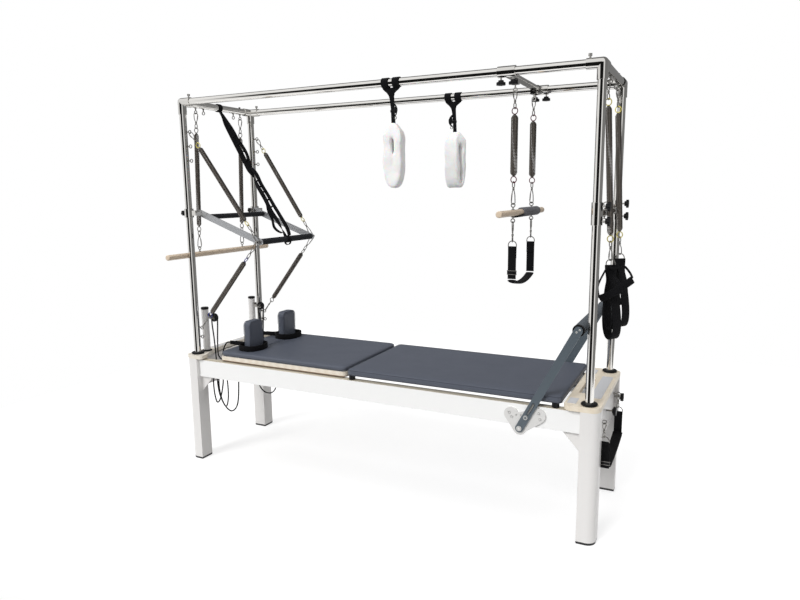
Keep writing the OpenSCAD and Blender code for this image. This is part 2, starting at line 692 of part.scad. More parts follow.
// sliding trapeze crossbar under the top rails
trap_x = 745;
trap_y = 165;
trap_eye_z = rail_z - 34 - 16 - eye_r;
module trapeze_crossbar() {
  color(steel) {
    pipe([trap_x, -hy + tr + 4, rail_z - 4], [trap_x, hy - tr - 4, rail_z - 4], 32, 2);
    for (s = [-1, 1]) {
      difference() {
        union() {
          translate([trap_x, s * hy, rail_z]) rotate([0, 90, 0])
            cylinder(h = 80, r = tr + 5, center = true);
          translate([trap_x, s * (hy - 18), rail_z - 4]) rotate([90 * s, 0, 0])
            cylinder(h = 58, r = 20);
          translate([trap_x - 16, s * trap_y - 14, rail_z - 36]) cube([32, 28, 24]);
        }
        translate([trap_x, s * hy, rail_z]) rotate([0, 90, 0])
          cylinder(h = 82, r = tr + 0.05, center = true);
        translate([trap_x, 0, rail_z - 4]) rotate([90, 0, 0])
          cylinder(h = 2 * (hy - tr - 4), r = 16, center = true);
      }
      translate([trap_x, s * trap_y, rail_z - 34]) rotate([180, 0, 0]) eyebolt(16);
    }
  }
  color(black) for (s = [-1, 1]) {
    translate([trap_x - 26, s * hy, rail_z - tr - 4]) rotate([180, 0, 0]) knob(34, 12);
    translate([trap_x + 30, s * hy, rail_z - tr - 4]) rotate([180, 0, 0]) knob(34, 12);
  }
}
trap_len = 521;
trap_bar_z = trap_eye_z - trap_len - eye_r - 12 - 15;
sling_eye_z = trap_bar_z - 15 - 12 - eye_r;
module trapeze_springs() {
  color(steel) for (s = [-1, 1]) translate([trap_x, s * trap_y, trap_eye_z]) rotate([180, 0, 0])
    hung_spring(trap_len, 30, 84, 110);
}
module trapeze_bar() {
  color(timber) translate([trap_x, 0, trap_bar_z]) rotate([90, 0, 0])
    cylinder(h = 772, d = 30, center = true);
  // foam grips: a whole one at the rear, a slit one at the front
  color([0.28, 0.28, 0.29]) {
    translate([trap_x, 270, trap_bar_z]) rotate([90, 0, 0]) difference() {
      cylinder(h = 300, d = 46);
      translate([0, 0, -1]) cylinder(h = 302, d = 30);
      translate([-4, -30, 270 - trap_y - 4]) cube([8, 60, 8]);
    }
    translate([trap_x, -34, trap_bar_z]) rotate([90, 0, 0]) difference() {
      cylinder(h = 220, d = 46);
      translate([0, 0, -1]) cylinder(h = 222, d = 30);
      translate([0, -9, -1]) cube([40, 18, 222]);
      translate([-4, -30, trap_y - 34 - 4]) cube([8, 60, 8]);
    }
  }
  color(steel) for (s = [-1, 1]) translate([trap_x, s * trap_y, trap_bar_z]) {
    for (e = [0, 1]) mirror([0, 0, e]) translate([0, 0, 15 - 1]) {
      cylinder(h = 13, d = 6);
      translate([0, 0, 13 + eye_r]) rotate([90, 0, 0]) hoop(eye_r, eye_w);
    }
  }
}
// padded sling under the trapeze bar
sling_drop = 96;
strap_len = 178;
sling_sag = 25;
module trapeze_sling() {
  d_z = sling_eye_z - hook_z0 - sling_drop;
  for (s = [-1, 1]) translate([trap_x, s * trap_y, 0]) {
    color(steel) {
      translate([0, 0, sling_eye_z]) rotate([180, 0, 0])
        translate([0, 0, hook_z0]) link(sling_drop, hook_r, hook_w);
      // flat sided ring that carries the webbing
      translate([0, 0, d_z + hook_w / 2 + d_gap]) d_ring();
    }
    color(black) translate([-20, -3, d_z - strap_len - 3])
      cube([40, 6, strap_len + 3 + hook_w / 2 + d_gap - fit - d_drop]);
  }
  // padded band between the straps, sagging a little
  r_in = (trap_y * trap_y + sling_sag * sling_sag) / (2 * sling_sag);
  color(black) translate([trap_x - 20, 0, d_z - strap_len]) rotate([0, 90, 0]) linear_extrude(40)
    difference() {
      intersection() {
        translate([sling_sag - r_in, 0]) circle(r = r_in + 14, $fn = 180);
        translate([0, -trap_y - 5]) square([100, 2 * trap_y + 10]);
      }
      translate([sling_sag - r_in, 0]) circle(r = r_in, $fn = 180);
    }
}

// fleece cuffs hung on the top rails: webbing rings, strap and loop
module cuff(x, sy, turn) {
  translate([x, sy * hy, rail_z]) {
    color(black) {
      for (u = [-50, 8]) translate([u, 0, 0]) rotate([0, 90, 0]) difference() {
        cylinder(h = 37, r = tr + 4);
        translate([0, 0, -1]) cylinder(h = 39, r = tr + fit);
      }
      translate([0, 2, 0]) rotate([90, 0, 0]) linear_extrude(4)
        polygon([[-50, -21.5], [-13, -21.5], [-2.5, -36], [8, -21.5], [45, -21.5], [27, -56],
          [22, -76], [22, -190], [-6, -190], [-9, -76], [-18, -56]]);
      translate([18, -6, -150]) cube([12, 4, 64]);
    }
    color([0.96, 0.96, 0.95]) translate([8, 0, -190.3 - 151]) rotate([0, 0, turn])
      rotate([90, 0, 0]) translate([0, 0, -46]) linear_extrude(92) difference() {
        polygon([for (a = [0 : 9 : 351]) [45 * cos(a) * (1 - 0.16 * sin(a)), 151 * sin(a)]]);
        polygon([for (a = [0 : 9 : 351]) [18 * cos(a) * (1 - 0.16 * sin(a)), 125 * sin(a)]]);
      }
  }
}
module cuff_front() { cuff(182, -1, 0); }
module cuff_rear() { cuff(264, 1, 90); }

// height-adjustable cross slide on the right uprights
slide_z = 1497;
module cross_slide() {
  color(steel) {
    pipe([hx, -hy + tr + 3, slide_z], [hx, hy - tr - 3, slide_z], 32, 2);
    for (s = [-1, 1]) {
      difference() {
        union() {
          translate([hx, s * hy, slide_z - 48]) cylinder(h = 96, r = tr + 5);
          translate([hx, s * (hy - 12), slide_z]) rotate([90 * s, 0, 0]) cylinder(h = 44, r = 20);
        }
        translate([hx, s * hy, slide_z - 60]) cylinder(h = 120, r = tr + 0.05);
        translate([hx, 0, slide_z]) rotate([90, 0, 0])
          cylinder(h = 2 * (hy - tr - 3), r = 16, center = true);
      }
      translate([hx, s * 70, slide_z + 15.5]) eyebolt(12);
      translate([hx, s * 100, slide_z - 15.5]) rotate([180, 0, 0]) eyebolt(12);
    }
  }
  color(black) for (s = [-1, 1]) for (e = [-1, 1])
    translate([hx + tr + 4.5, s * hy, slide_z + e * 31]) rotate([0, 90, 0]) knob(36, 12);
}

// springs with double loops, hung outside the cross slide
arm_eye_z = rail_z - tr - eye_out - eye_r;
arm_lean = atan2(16 + coil_d / 2 + 3, arm_eye_z - slide_z);
module arm_spring(s) {
  translate([hx, s * arm_y, arm_eye_z]) rotate([0, 180 - arm_lean, 0]) {
    color(steel) {
      hook_and_ring(86, hook_z0);
      translate([0, 0, lead(86)]) coil(560, coil_d, coil_wire);
      translate([0, 0, lead(86) + 560 + lead(92)]) mirror([0, 0, 1]) hook_and_ring(92, hook_z0);
    }
    z = lead(86) + 560 + lead(92);
    // D ring and the two webbing loops below it
    d0 = z - hook_z0 - hook_w / 2 - d_gap;
    color(steel) translate([0, 0, d0]) mirror([0, 0, 1]) d_ring();
    color(black) translate([0, 0, d0 + d_drop + fit]) rotate([0, 90, 0]) {
      translate([0, 0, -19]) linear_extrude(38) difference() {
        polygon([for (a = [0 : 9 : 351]) [-170 - 170 * cos(a), (44 - 14 * cos(a)) * sin(a)]]);
        polygon([for (a = [0 : 9 : 351]) [-170 - 164 * cos(a), (38 - 12 * cos(a)) * sin(a)]]);
      }
    }
  }
}
module arm_spring_front() { arm_spring(-1); }
module arm_spring_rear() { arm_spring(1); }

// sling stored on two eyes of the end face
end_y = 226;
end_x = hx + 34 + eye_out + eye_r;
end_z = 556;
module end_sling() {
  for (s = [-1, 1]) translate([end_x, s * end_y, end_z]) {
    color(steel) {
      rotate([180, 0, 0]) translate([0, 0, hook_z0]) link(70, hook_r, hook_w);
      translate([0, 0, -hook_z0 - 70 + hook_w / 2 + d_gap]) d_ring();
    }
    color(black) translate([-19, -3, -220])
      cube([38, 6, 150 - hook_z0 + hook_w / 2 + d_gap - fit - d_drop]);
  }
  color(black) translate([end_x - 19, 0, end_z - 220]) rotate([0, 90, 0]) linear_extrude(38)
    difference() {
      intersection() {
        translate([-200, 0]) circle(r = norm([200, end_y + 3]));
        translate([0, -300]) square([300, 600]);
      }
      translate([-200, 0]) circle(r = norm([200, end_y + 3]) - 10);
    }
}

// posts at the head end with a swivelling pulley on each
riser_y = 219.5;
riser_top = 921;
pul_x = -hx + 73;
pul_z = 862;
pul_r = 25;
rope_d = 7;
rope_r = 20.2 + rope_d / 2;
module rope_risers() {
  for (s = [-1, 1]) {
    color(white) translate([-hx, s * riser_y, plat_z + 6])
      cylinder(h = riser_top - 12 - plat_z - 6, r = 21);
    color(black) {
      translate([-hx, s * riser_y, plat_z]) cylinder(h = 6, r = 30);
      translate([-hx, s * riser_y, riser_top - 12]) cylinder(h = 12, r = 23);
    }
    color(steel) {
      translate([-hx + 20.5, s * riser_y - 4, pul_z + 6]) cube([12, 8, 14]);
      for (e = [-1, 1]) translate([-hx + 26, s * riser_y + e * 10 - 1.5, pul_z - 10])
        cube([58, 3, 20]);
      translate([-hx + 26, s * riser_y - 11.5, pul_z + 6]) cube([6, 23, 14]);
      translate([pul_x, s * riser_y, pul_z]) rotate([90, 0, 0])
        cylinder(h = 20, d = 8, center = true);
    }
  }
}
module pulley(s) {
  color(black) translate([pul_x, s * riser_y, pul_z]) rotate([90, 0, 0]) difference() {
    cylinder(h = 14, r = pul_r, center = true);
    cylinder(h = 16, d = 8.1, center = true);
    rotate_extrude() translate([rope_r, 0]) circle(d = rope_d + 0.6, $fn = 24);
    difference() {
      cylinder(h = 16, r = pul_r + 1, center = true);
      cylinder(h = 17, r = rope_r, center = true);
      for (e = [-1, 1]) translate([0, 0, e * 6]) cylinder(h = 4, r = pul_r + 2, center = true);
    }
    for (a = [0 : 72 : 359]) rotate([0, 0, a]) translate([12, 0, 0])
      cylinder(h = 16, d = 5, center = true);
  }
}
module pulley_front() { pulley(-1); }
module pulley_rear() { pulley(1); }

// black ropes: over each pulley, and down through the gap before the carriage
rope_up = [for (a = [180 : -15 : 0]) [pul_x + rope_r * cos(a), 0, pul_z + rope_r * sin(a)]];
rope_run = concat([[-1082, 0, 600], [-1082, 0, 610], [-1084, 0, 660], [-1090, 0, 740],
  [-1098, 0, 810]], rope_up, [[-1056, 0, 810], [-1062, 0, 740], [-1066, 0, 660],
  [-1063, 0, 630], [-1050, 0, 612], [-1030, 0, 606], [-990, 0, 606], [cleat_x, 0, 606]]);
module rope(p, n) { sweep(p, [for (q = p) [0, 1, 0]], rope_d, n); }
module ropes() {
  color(black) for (s = [-1, 1]) translate([0, s * riser_y, 0]) rope(rope_run, 8);
}
// spare rope: from each strand down in loops under the side rail, and up to the strap's tail
tail_up = [[-1030, 190, 586], [-1060, 182, 606], [-1066, 170, 650], [-1056, 156, 688],
  [-1042, 148, 697], [-1036, 148, 697], [-1030.3, 148, 697]];
spare_front = concat([[-1082, 219.5, 600], [-1082, 219.5, 595], [-1082, 219.5, 588], [-1088, 236, 540],
  [-1090, 246, 470], [-1086, 246, 390], [-1069, 246, 339], [-1040, 246, 372],
  [-1014, 246, 470], [-1018, 244, 535], [-1044, 238, 566], [-1066, 234, 540],
  [-1073, 232, 495], [-1060, 232, 390], [-1016, 232, 315], [-992, 232, 380],
  [-995, 231, 495], [-1012, 229, 556], [-1040, 225, 572], [-1064, 222, 520],
  [-1071, 219, 415], [-1045, 217, 325], [-987, 217, 285], [-935, 217, 340],
  [-918, 217, 491], [-930, 212, 556], [-975, 200, 580]], tail_up);
spare_rear = concat([[-1082, 219.5, 600], [-1082, 219.5, 595], [-1082, 219.5, 588], [-1100, 212, 540],
  [-1122, 204, 440], [-1112, 200, 340], [-1070, 198, 283], [-1010, 198, 275],
  [-965, 198, 318], [-948, 198, 420], [-956, 198, 520], [-985, 195, 566],
  [-1030, 200, 560], [-1056, 206, 500], [-1050, 212, 400], [-1010, 214, 330],
  [-985, 214, 400], [-988, 212, 500], [-1004, 204, 560]], tail_up);
function along_curve(p, i, t) = let (a = p[max(i - 1, 0)], b = p[i], c = p[i + 1],
    d = p[min(i + 2, len(p) - 1)])
  0.5 * (2 * b + (c - a) * t + (2 * a - 5 * b + 4 * c - d) * t * t
    + (3 * b - a - 3 * c + d) * t * t * t);
function smooth(p) = concat([for (i = [0 : len(p) - 2]) each [p[i], along_curve(p, i, 0.5)]],
  [p[len(p) - 1]]);
function tube_gap(p, w) = min([for (i = [0 : len(p) - 6]) for (j = [i + 5 : len(p) - 1])
  norm(p[i] - p[j])]) - w;
module rope_loops() {
  color(black) {
    rope([for (p = smooth(spare_front)) [p[0], -p[1], p[2]]], 6);
    rope(smooth(spare_rear), 6);
  }
}
echo(least_gap_of_spare_rope = [tube_gap(smooth(spare_front), rope_d),
  tube_gap(smooth(spare_rear), rope_d)]);

side_rail_front();
side_rail_rear();
leg_front_left();
leg_rear_left();
leg_front_right();
leg_rear_right();
leg_feet();
end_rails();
platform_left();
platform_right();
grip_pads();
carriage_tracks();
upright_front_left();
upright_rear_left();
upright_front_right();
upright_rear_right();
flange_collars();
top_rail_front();
top_rail_rear();
crossbars();
corner_fittings();
frame_eyebolts();
carriage_deck();
carriage_pad();
headrest();
shoulder_rest_front();
shoulder_rest_rear();
shoulder_straps();
wheel_set_left();
wheel_set_right();
carriage_springs();
spring_bar();
mat_insert();
mat_insert_feet();
foot_bar_arms();
foot_bar_roller();
foot_bar_brackets();
push_bar_arms();
push_bar_grip();
push_bar_tie();
push_bar_clamps();
push_bar_springs();
safety_strap();
roll_down_bar();
roll_down_springs();
trapeze_crossbar();
trapeze_springs();
trapeze_bar();
trapeze_sling();
cuff_front();
cuff_rear();
cross_slide();
arm_spring_front();
arm_spring_rear();
end_sling();
rope_risers();
pulley_front();
pulley_rear();
ropes();
rope_loops();
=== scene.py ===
import math

import bmesh
import bpy
from mathutils import Matrix, Vector, noise


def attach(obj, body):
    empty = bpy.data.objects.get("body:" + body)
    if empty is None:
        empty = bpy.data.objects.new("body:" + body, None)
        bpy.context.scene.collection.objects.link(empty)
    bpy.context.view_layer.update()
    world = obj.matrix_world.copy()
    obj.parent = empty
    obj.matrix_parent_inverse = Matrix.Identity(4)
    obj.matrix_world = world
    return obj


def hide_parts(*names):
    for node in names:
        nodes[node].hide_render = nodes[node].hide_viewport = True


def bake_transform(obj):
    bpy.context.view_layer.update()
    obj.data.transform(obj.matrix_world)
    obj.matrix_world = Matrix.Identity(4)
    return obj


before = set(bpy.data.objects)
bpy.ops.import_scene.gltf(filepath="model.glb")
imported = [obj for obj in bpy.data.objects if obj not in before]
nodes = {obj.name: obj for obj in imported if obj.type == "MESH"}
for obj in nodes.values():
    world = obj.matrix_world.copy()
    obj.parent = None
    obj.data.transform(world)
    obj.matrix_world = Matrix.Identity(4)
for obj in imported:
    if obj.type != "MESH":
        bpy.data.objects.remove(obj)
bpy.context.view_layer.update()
scene = bpy.context.scene
print("frame loaded,", len(nodes), "nodes")


def mm(x, y, z):
    return Vector((x, y, z)) / 1000


sides = (("Front", -1), ("Rear", 1))


# camera, set from the photograph: place in mm, turns in degrees
photoView = {"lens": 28.806, "place": (1612.3, -3123.69, 1596.99), "yaw": 26.3415, "pitch": 9.5724, "roll": -0.6032}


def addCamera():
    yaw, pitch, roll = (math.radians(photoView[k]) for k in ("yaw", "pitch", "roll"))
    look = Vector((-math.sin(yaw) * math.cos(pitch), math.cos(yaw) * math.cos(pitch), -math.sin(pitch)))
    level = Vector((math.cos(yaw), math.sin(yaw), 0))
    rise = level.cross(look)
    side = level * math.cos(roll) + rise * math.sin(roll)
    top = rise * math.cos(roll) - level * math.sin(roll)
    data = bpy.data.cameras.new("photoCamera")
    data.lens = photoView["lens"]
    data.sensor_width = 36
    data.clip_end = 60
    cam = bpy.data.objects.new("photoCamera", data)
    scene.collection.objects.link(cam)
    cam.matrix_world = Matrix.Translation(mm(*photoView["place"])) @ Matrix((side, top,
                                                                             -look)).transposed().to_4x4()
    scene.camera = cam


addCamera()


# a colour as a picture program writes it, made linear
def rgb(r, g, b):
    shares = (r / 255, g / 255, b / 255)
    return tuple(c / 12.92 if c <= 0.04045 else ((c + 0.055) / 1.055) ** 2.4 for c in shares) + (1,)


def fillSockets(tree, node, values):
    for key, value in values.items():
        if isinstance(value, bpy.types.NodeSocket):
            tree.links.new(value, node.inputs[key])
        else:
            node.inputs[key].default_value = value
    return node


def addNode(tree, kind, values=None, **settings):
    node = tree.nodes.new(kind)
    for key, value in settings.items():
        setattr(node, key, value)
    return fillSockets(tree, node, values or {})


def math2(tree, operation, a, b=0.0):
    return addNode(tree, "ShaderNodeMath", {0: a, 1: b}, operation=operation).outputs[0]


def mixColour(tree, share, a, b):
    return addNode(tree, "ShaderNodeMix", {0: share, 6: a, 7: b}, data_type="RGBA").outputs[2]


def splitXyz(tree, vector):
    return addNode(tree, "ShaderNodeSeparateXYZ", {0: vector}).outputs


def noiseOf(tree, vector, scale, detail=2.0, **more):
    values = {"Vector": vector, "Scale": scale, "Detail": detail}
    values.update(more)
    return addNode(tree, "ShaderNodeTexNoise", values).outputs["Fac"]


# 0 at start, 1 at full
def rampTo(tree, value, start, full):
    return addNode(tree, "ShaderNodeMapRange", {"Value": value, "From Min": start, "From Max": full}).outputs[0]


def newGroup(name, inputs, outputs):
    tree = bpy.data.node_groups.new(name, "ShaderNodeTree")
    for label, kind, value in inputs:
        socket = tree.interface.new_socket(label, in_out="INPUT", socket_type="NodeSocket" + kind)
        if value is not None:
            socket.default_value = value
    for label, kind in outputs:
        tree.interface.new_socket(label, in_out="OUTPUT", socket_type="NodeSocket" + kind)
    return tree, tree.nodes.new("NodeGroupInput").outputs, tree.nodes.new("NodeGroupOutput").inputs


def useGroup(tree, group, values):
    node = tree.nodes.new("ShaderNodeGroup")
    node.node_tree = group
    return fillSockets(tree, node, values).outputs


def emptyTree(owner):
    owner.use_nodes = True
    owner.node_tree.nodes.clear()
    return owner.node_tree


def newMaterial(name, **plain):
    made = bpy.data.materials.new(name)
    tree = emptyTree(made)
    shader = tree.nodes.new("ShaderNodeBsdfPrincipled")
    tree.links.new(shader.outputs[0], tree.nodes.new("ShaderNodeOutputMaterial").inputs[0])
    for key, value in plain.items():
        shader.inputs[key.replace("_", " ")].default_value = value
    return made, tree, shader.inputs, tree.nodes.new("ShaderNodeTexCoord").outputs


# fine relief on the surface, over the given normal
def addRelief(tree, shader, height, distance, strength, normal=None):
    values = {"Height": height, "Distance": distance, "Strength": strength}
    if normal:
        values["Normal"] = normal
    tree.links.new(addNode(tree, "ShaderNodeBump", values).outputs[0], shader["Normal"])


# effects that several finishes share
def makeMottle():  # slow change of tone and gloss, with a fine grain
    tree, given, out = newGroup(
        "mottle",
        [("Vector", "Vector", None), ("Base", "Color", (0.5, 0.5, 0.5, 1)), ("Tone", "Float", 0.05),
         ("Gloss", "Float", 0.4), ("Spread", "Float", 0.08), ("Grain", "Float", 900.0)],
        [("Color", "Color"), ("Roughness", "Float"), ("Height", "Float")],
    )
    slow = noiseOf(tree, given["Vector"], 7.0, 4.0, Roughness=0.6)
    darker = mixColour(tree, given["Tone"], given["Base"], (0, 0, 0, 1))
    tree.links.new(mixColour(tree, slow, given["Base"], darker), out["Color"])
    shift = math2(tree, "MULTIPLY", math2(tree, "SUBTRACT", slow, 0.5), given["Spread"])
    tree.links.new(math2(tree, "ADD", shift, given["Gloss"]), out["Roughness"])
    tree.links.new(noiseOf(tree, given["Vector"], given["Grain"]), out["Height"])
    return tree


def makeSoftEdge():  # rounds sharp edges in shading, and finds them for a painted highlight
    tree, given, out = newGroup("softEdge", [("Radius", "Float", 0.0015)],
                                [("Normal", "Vector"), ("Edge", "Float")])
    bevel = addNode(tree, "ShaderNodeBevel", {"Radius": given["Radius"]}, samples=4)
    flat = tree.nodes.new("ShaderNodeNewGeometry")
    pair = {0: bevel.outputs[0], 1: flat.outputs["Normal"]}
    dot = addNode(tree, "ShaderNodeVectorMath", pair, operation="DOT_PRODUCT")
    tree.links.new(bevel.outputs[0], out["Normal"])
    tree.links.new(rampTo(tree, dot.outputs["Value"], 0.995, 0.85), out["Edge"])
    return tree


def makeWeave():  # warp over weft, along the piece's own map in metres
    tree, given, out = newGroup("weave", [("Vector", "Vector", None), ("Pitch", "Float", 0.0024)],
                                [("Height", "Float"), ("Thread", "Float")])
    split = splitXyz(tree, given["Vector"])
    turns = math2(tree, "DIVIDE", 6.28318, given["Pitch"])
    across = math2(tree, "SINE", math2(tree, "MULTIPLY", split[0], turns))
    down = math2(tree, "SINE", math2(tree, "MULTIPLY", split[1], turns))
    both = math2(tree, "MULTIPLY", across, down)
    rib = math2(tree, "SINE", math2(tree, "MULTIPLY", split[1], math2(tree, "MULTIPLY", turns, 2.0)))
    height = math2(tree, "ADD", math2(tree, "MULTIPLY", both, 0.35), math2(tree, "MULTIPLY", rib, 0.15))
    tree.links.new(math2(tree, "ADD", height, 0.5), out["Height"])
    fuzz = noiseOf(tree, given["Vector"], 1400.0)
    tree.links.new(math2(tree, "MULTIPLY", math2(tree, "ADD", both, 1.0), fuzz), out["Thread"])
    return tree


def makeWoodGrain():  # long growth lines with pores
    tree, given, out = newGroup(
        "woodGrain",
        [("Vector", "Vector", None), ("Pale", "Color", (0.8, 0.7, 0.5, 1)), ("Dark", "Color", (0.6, 0.45, 0.3, 1))],
        [("Color", "Color"), ("Height", "Float")],
    )
    bend = noiseOf(tree, given["Vector"], 2.0)
    wave = {"Vector": given["Vector"], "Scale": 3.0, "Distortion": 4.0, "Detail": 2.0, "Phase Offset": bend}
    rings = addNode(tree, "ShaderNodeTexWave", wave, bands_direction="X").outputs["Fac"]
    pores = noiseOf(tree, given["Vector"], 60.0, 3.0)
    tree.links.new(mixColour(tree, math2(tree, "MULTIPLY", rings, pores), given["Pale"], given["Dark"]),
                   out["Color"])
    tree.links.new(pores, out["Height"])
    return tree


mottle, softEdge, weave, woodGrain = makeMottle(), makeSoftEdge(), makeWeave(), makeWoodGrain()


def mottled(tree, vector, colour, tone, gloss, grain, spread):
    values = {"Vector": vector, "Base": colour, "Tone": tone, "Gloss": gloss, "Grain": grain, "Spread": spread}
    return useGroup(tree, mottle, values)


def lighter(colour, times, plus):
    return tuple(min(1, c * times + plus) for c in colour[:3]) + (1,)


# a coated or moulded surface; the band argument gives another colour past a height: a black foot on the legs, a
# darker tan on the rail tops
def paint(name, colour, gloss, tone=0.03, grain=700.0, bump=0.00004, edge=0.0015, heightBand=None, **plain):
    made, tree, shader, place = newMaterial(name, **plain)
    look = mottled(tree, place["Object"], colour, tone, gloss, grain, 0.08)
    soft = useGroup(tree, softEdge, {"Radius": edge})
    # edges mixed a little towards white: a painted highlight along the edges
    paintedEdgeHighlight = math2(tree, "MULTIPLY", soft["Edge"], 0.25)
    shade = mixColour(tree, paintedEdgeHighlight, look["Color"], mixColour(tree, 0.35, colour, (1, 1, 1, 1)))
    if heightBand:
        past = rampTo(tree, splitXyz(tree, place["Object"])[2], heightBand["start"], heightBand["full"])
        shade = mixColour(tree, past, shade, heightBand["colour"])
    tree.links.new(shade, shader["Base Color"])
    tree.links.new(look["Roughness"], shader["Roughness"])
    addRelief(tree, shader, look["Height"], bump, 0.6, soft["Normal"])
    return made


def metal(name, colour, gloss, spread=0.1, bump=0.00001, stretch=(1, 1, 1), edge=0.001, **plain):
    made, tree, shader, place = newMaterial(name, Metallic=1.0, **plain)
    drawn = addNode(tree, "ShaderNodeMapping", {"Vector": place["Object"], "Scale": stretch}).outputs[0]
    look = mottled(tree, drawn, colour, 0.12, gloss, 500.0, spread)
    tree.links.new(look["Color"], shader["Base Color"])
    tree.links.new(look["Roughness"], shader["Roughness"])
    if not edge:
        return made
    soft = useGroup(tree, softEdge, {"Radius": edge})
    addRelief(tree, shader, look["Height"], bump, 0.5, soft["Normal"])
    return made


def woven(name, colour, pitch=0.0024, gloss=0.75):
    made, tree, shader, place = newMaterial(name, Sheen_Weight=0.02, Sheen_Roughness=0.5, Specular_IOR_Level=0.12)
    cloth = useGroup(tree, weave, {"Vector": place["UV"], "Pitch": pitch})
    # raised threads mixed lighter, with random tone from the fuzz: a painted highlight on the weave
    paintedThreadHighlight = math2(tree, "MULTIPLY", cloth["Thread"], 0.6)
    tree.links.new(mixColour(tree, paintedThreadHighlight, colour, lighter(colour, 1.8, 0.002)), shader["Base Color"])
    shader["Roughness"].default_value = gloss
    addRelief(tree, shader, cloth["Height"], 0.0005, 0.8)
    return made


def vinyl(name, colour):
    made, tree, shader, place = newMaterial(name, Coat_Weight=0.06, Coat_Roughness=0.35)
    look = mottled(tree, place["Object"], colour, 0.08, 0.47, 420.0, 0.14)
    values = {"Vector": place["Object"], "Scale": 620.0}
    cells = addNode(tree, "ShaderNodeTexVoronoi", values, feature="DISTANCE_TO_EDGE")
    swell = rampTo(tree, cells.outputs["Distance"], 0.0, 0.12)
    # the pebble grain darkened towards near black along its cell edges: painted shade in the creases
    paintedGrainShade = math2(tree, "MULTIPLY", math2(tree, "SUBTRACT", 1.0, swell), 0.25)
    tree.links.new(mixColour(tree, paintedGrainShade, look["Color"], (0.01, 0.012, 0.016, 1)), shader["Base Color"])
    tree.links.new(look["Roughness"], shader["Roughness"])
    height = math2(tree, "ADD", swell, math2(tree, "MULTIPLY", look["Height"], 0.6))
    addRelief(tree, shader, height, 0.00022, 0.6)
    return made


def timber(name, pale, dark, stretch, gloss=0.42, plies=None):
    made, tree, shader, place = newMaterial(name, Coat_Weight=0.2, Coat_Roughness=0.3)
    drawn = addNode(tree, "ShaderNodeMapping", {"Vector": place["Object"], "Scale": stretch}).outputs[0]
    grain = useGroup(tree, woodGrain, {"Vector": drawn, "Pale": pale, "Dark": dark})
    colour = grain["Color"]
    if plies:  # glued layers on the edge, and the dark underside
        high = splitXyz(tree, place["Object"])[2]
        layer = math2(tree, "PINGPONG", math2(tree, "SUBTRACT", high, plies["base"]), plies["thick"])
        line = rampTo(tree, layer, plies["thick"] * 0.35, plies["thick"] * 0.65)
        flat = tree.nodes.new("ShaderNodeNewGeometry")
        up = math2(tree, "ABSOLUTE", splitXyz(tree, flat.outputs["Normal"])[2])
        glued = math2(tree, "MULTIPLY", line, math2(tree, "SUBTRACT", 1.0, up))
        colour = mixColour(tree, math2(tree, "MULTIPLY", glued, plies["share"]), colour, plies["colour"])
        low = rampTo(tree, high, plies["base"] + plies["lip"], plies["base"] + plies["lip"] * 0.8)
        colour = mixColour(tree, low, colour, plies["under"])
    tree.links.new(colour, shader["Base Color"])
    shader["Roughness"].default_value = gloss
    soft = useGroup(tree, softEdge, {"Radius": 0.0015})
    addRelief(tree, shader, grain["Height"], 0.00008, 0.4, soft["Normal"])
    return made


def foam(name, colour):
    made, tree, shader, place = newMaterial(name, Specular_IOR_Level=0.2)
    cells = addNode(tree, "ShaderNodeTexVoronoi", {"Vector": place["Object"], "Scale": 900.0}).outputs["Distance"]
    # lighter on the rims of the foam cells and darker in their pits, with random tone from the noise: painted shade
    # in the pits
    share = math2(tree, "MULTIPLY", cells, noiseOf(tree, place["Object"], 20.0, 5.0))
    tree.links.new(mixColour(tree, share, colour, lighter(colour, 1.6, 0.004)), shader["Base Color"])
    shader["Roughness"].default_value = 0.8
    addRelief(tree, shader, cells, 0.0004, 0.7)
    return made


def fleece(name):
    plain = {"Sheen_Weight": 0.05, "Sheen_Roughness": 0.6, "Subsurface_Weight": 0.3, "Subsurface_Scale": 0.01}
    made, tree, shader, place = newMaterial(name, **plain)
    tufts = noiseOf(tree, place["Object"], 260.0, 6.0, Roughness=0.7, Distortion=0.6)
    lumps = noiseOf(tree, place["Object"], 45.0, 3.0)
    share = math2(tree, "MULTIPLY", tufts, lumps)
    tree.links.new(mixColour(tree, share, rgb(253, 253, 252), rgb(240, 240, 238)), shader["Base Color"])
    shader["Roughness"].default_value = 0.95
    height = math2(tree, "ADD", tufts, math2(tree, "MULTIPLY", lumps, 2.0))
    addRelief(tree, shader, height, 0.001, 0.6)
    return made


def braid(name, colour):
    made, tree, shader, place = newMaterial(name, Sheen_Weight=0.02, Specular_IOR_Level=0.15)
    split = splitXyz(tree, place["UV"])
    length, turn = math2(tree, "MULTIPLY", split[0], 1100.0), math2(tree, "MULTIPLY", split[1], 37.699)
    left, right = (math2(tree, "SINE", math2(tree, way, length, turn)) for way in ("ADD", "SUBTRACT"))
    strand = math2(tree, "MAXIMUM", left, right)
    # the braid's raised strands mixed lighter, with random tone from the noise: a painted highlight on the strands
    share = math2(tree, "MULTIPLY", math2(tree, "MAXIMUM", strand, 0.0), noiseOf(tree, place["Object"], 900.0))
    tree.links.new(mixColour(tree, share, colour, lighter(colour, 2.4, 0.01)), shader["Base Color"])
    shader["Roughness"].default_value = 0.7
    addRelief(tree, shader, strand, 0.0004, 0.7)
    return made


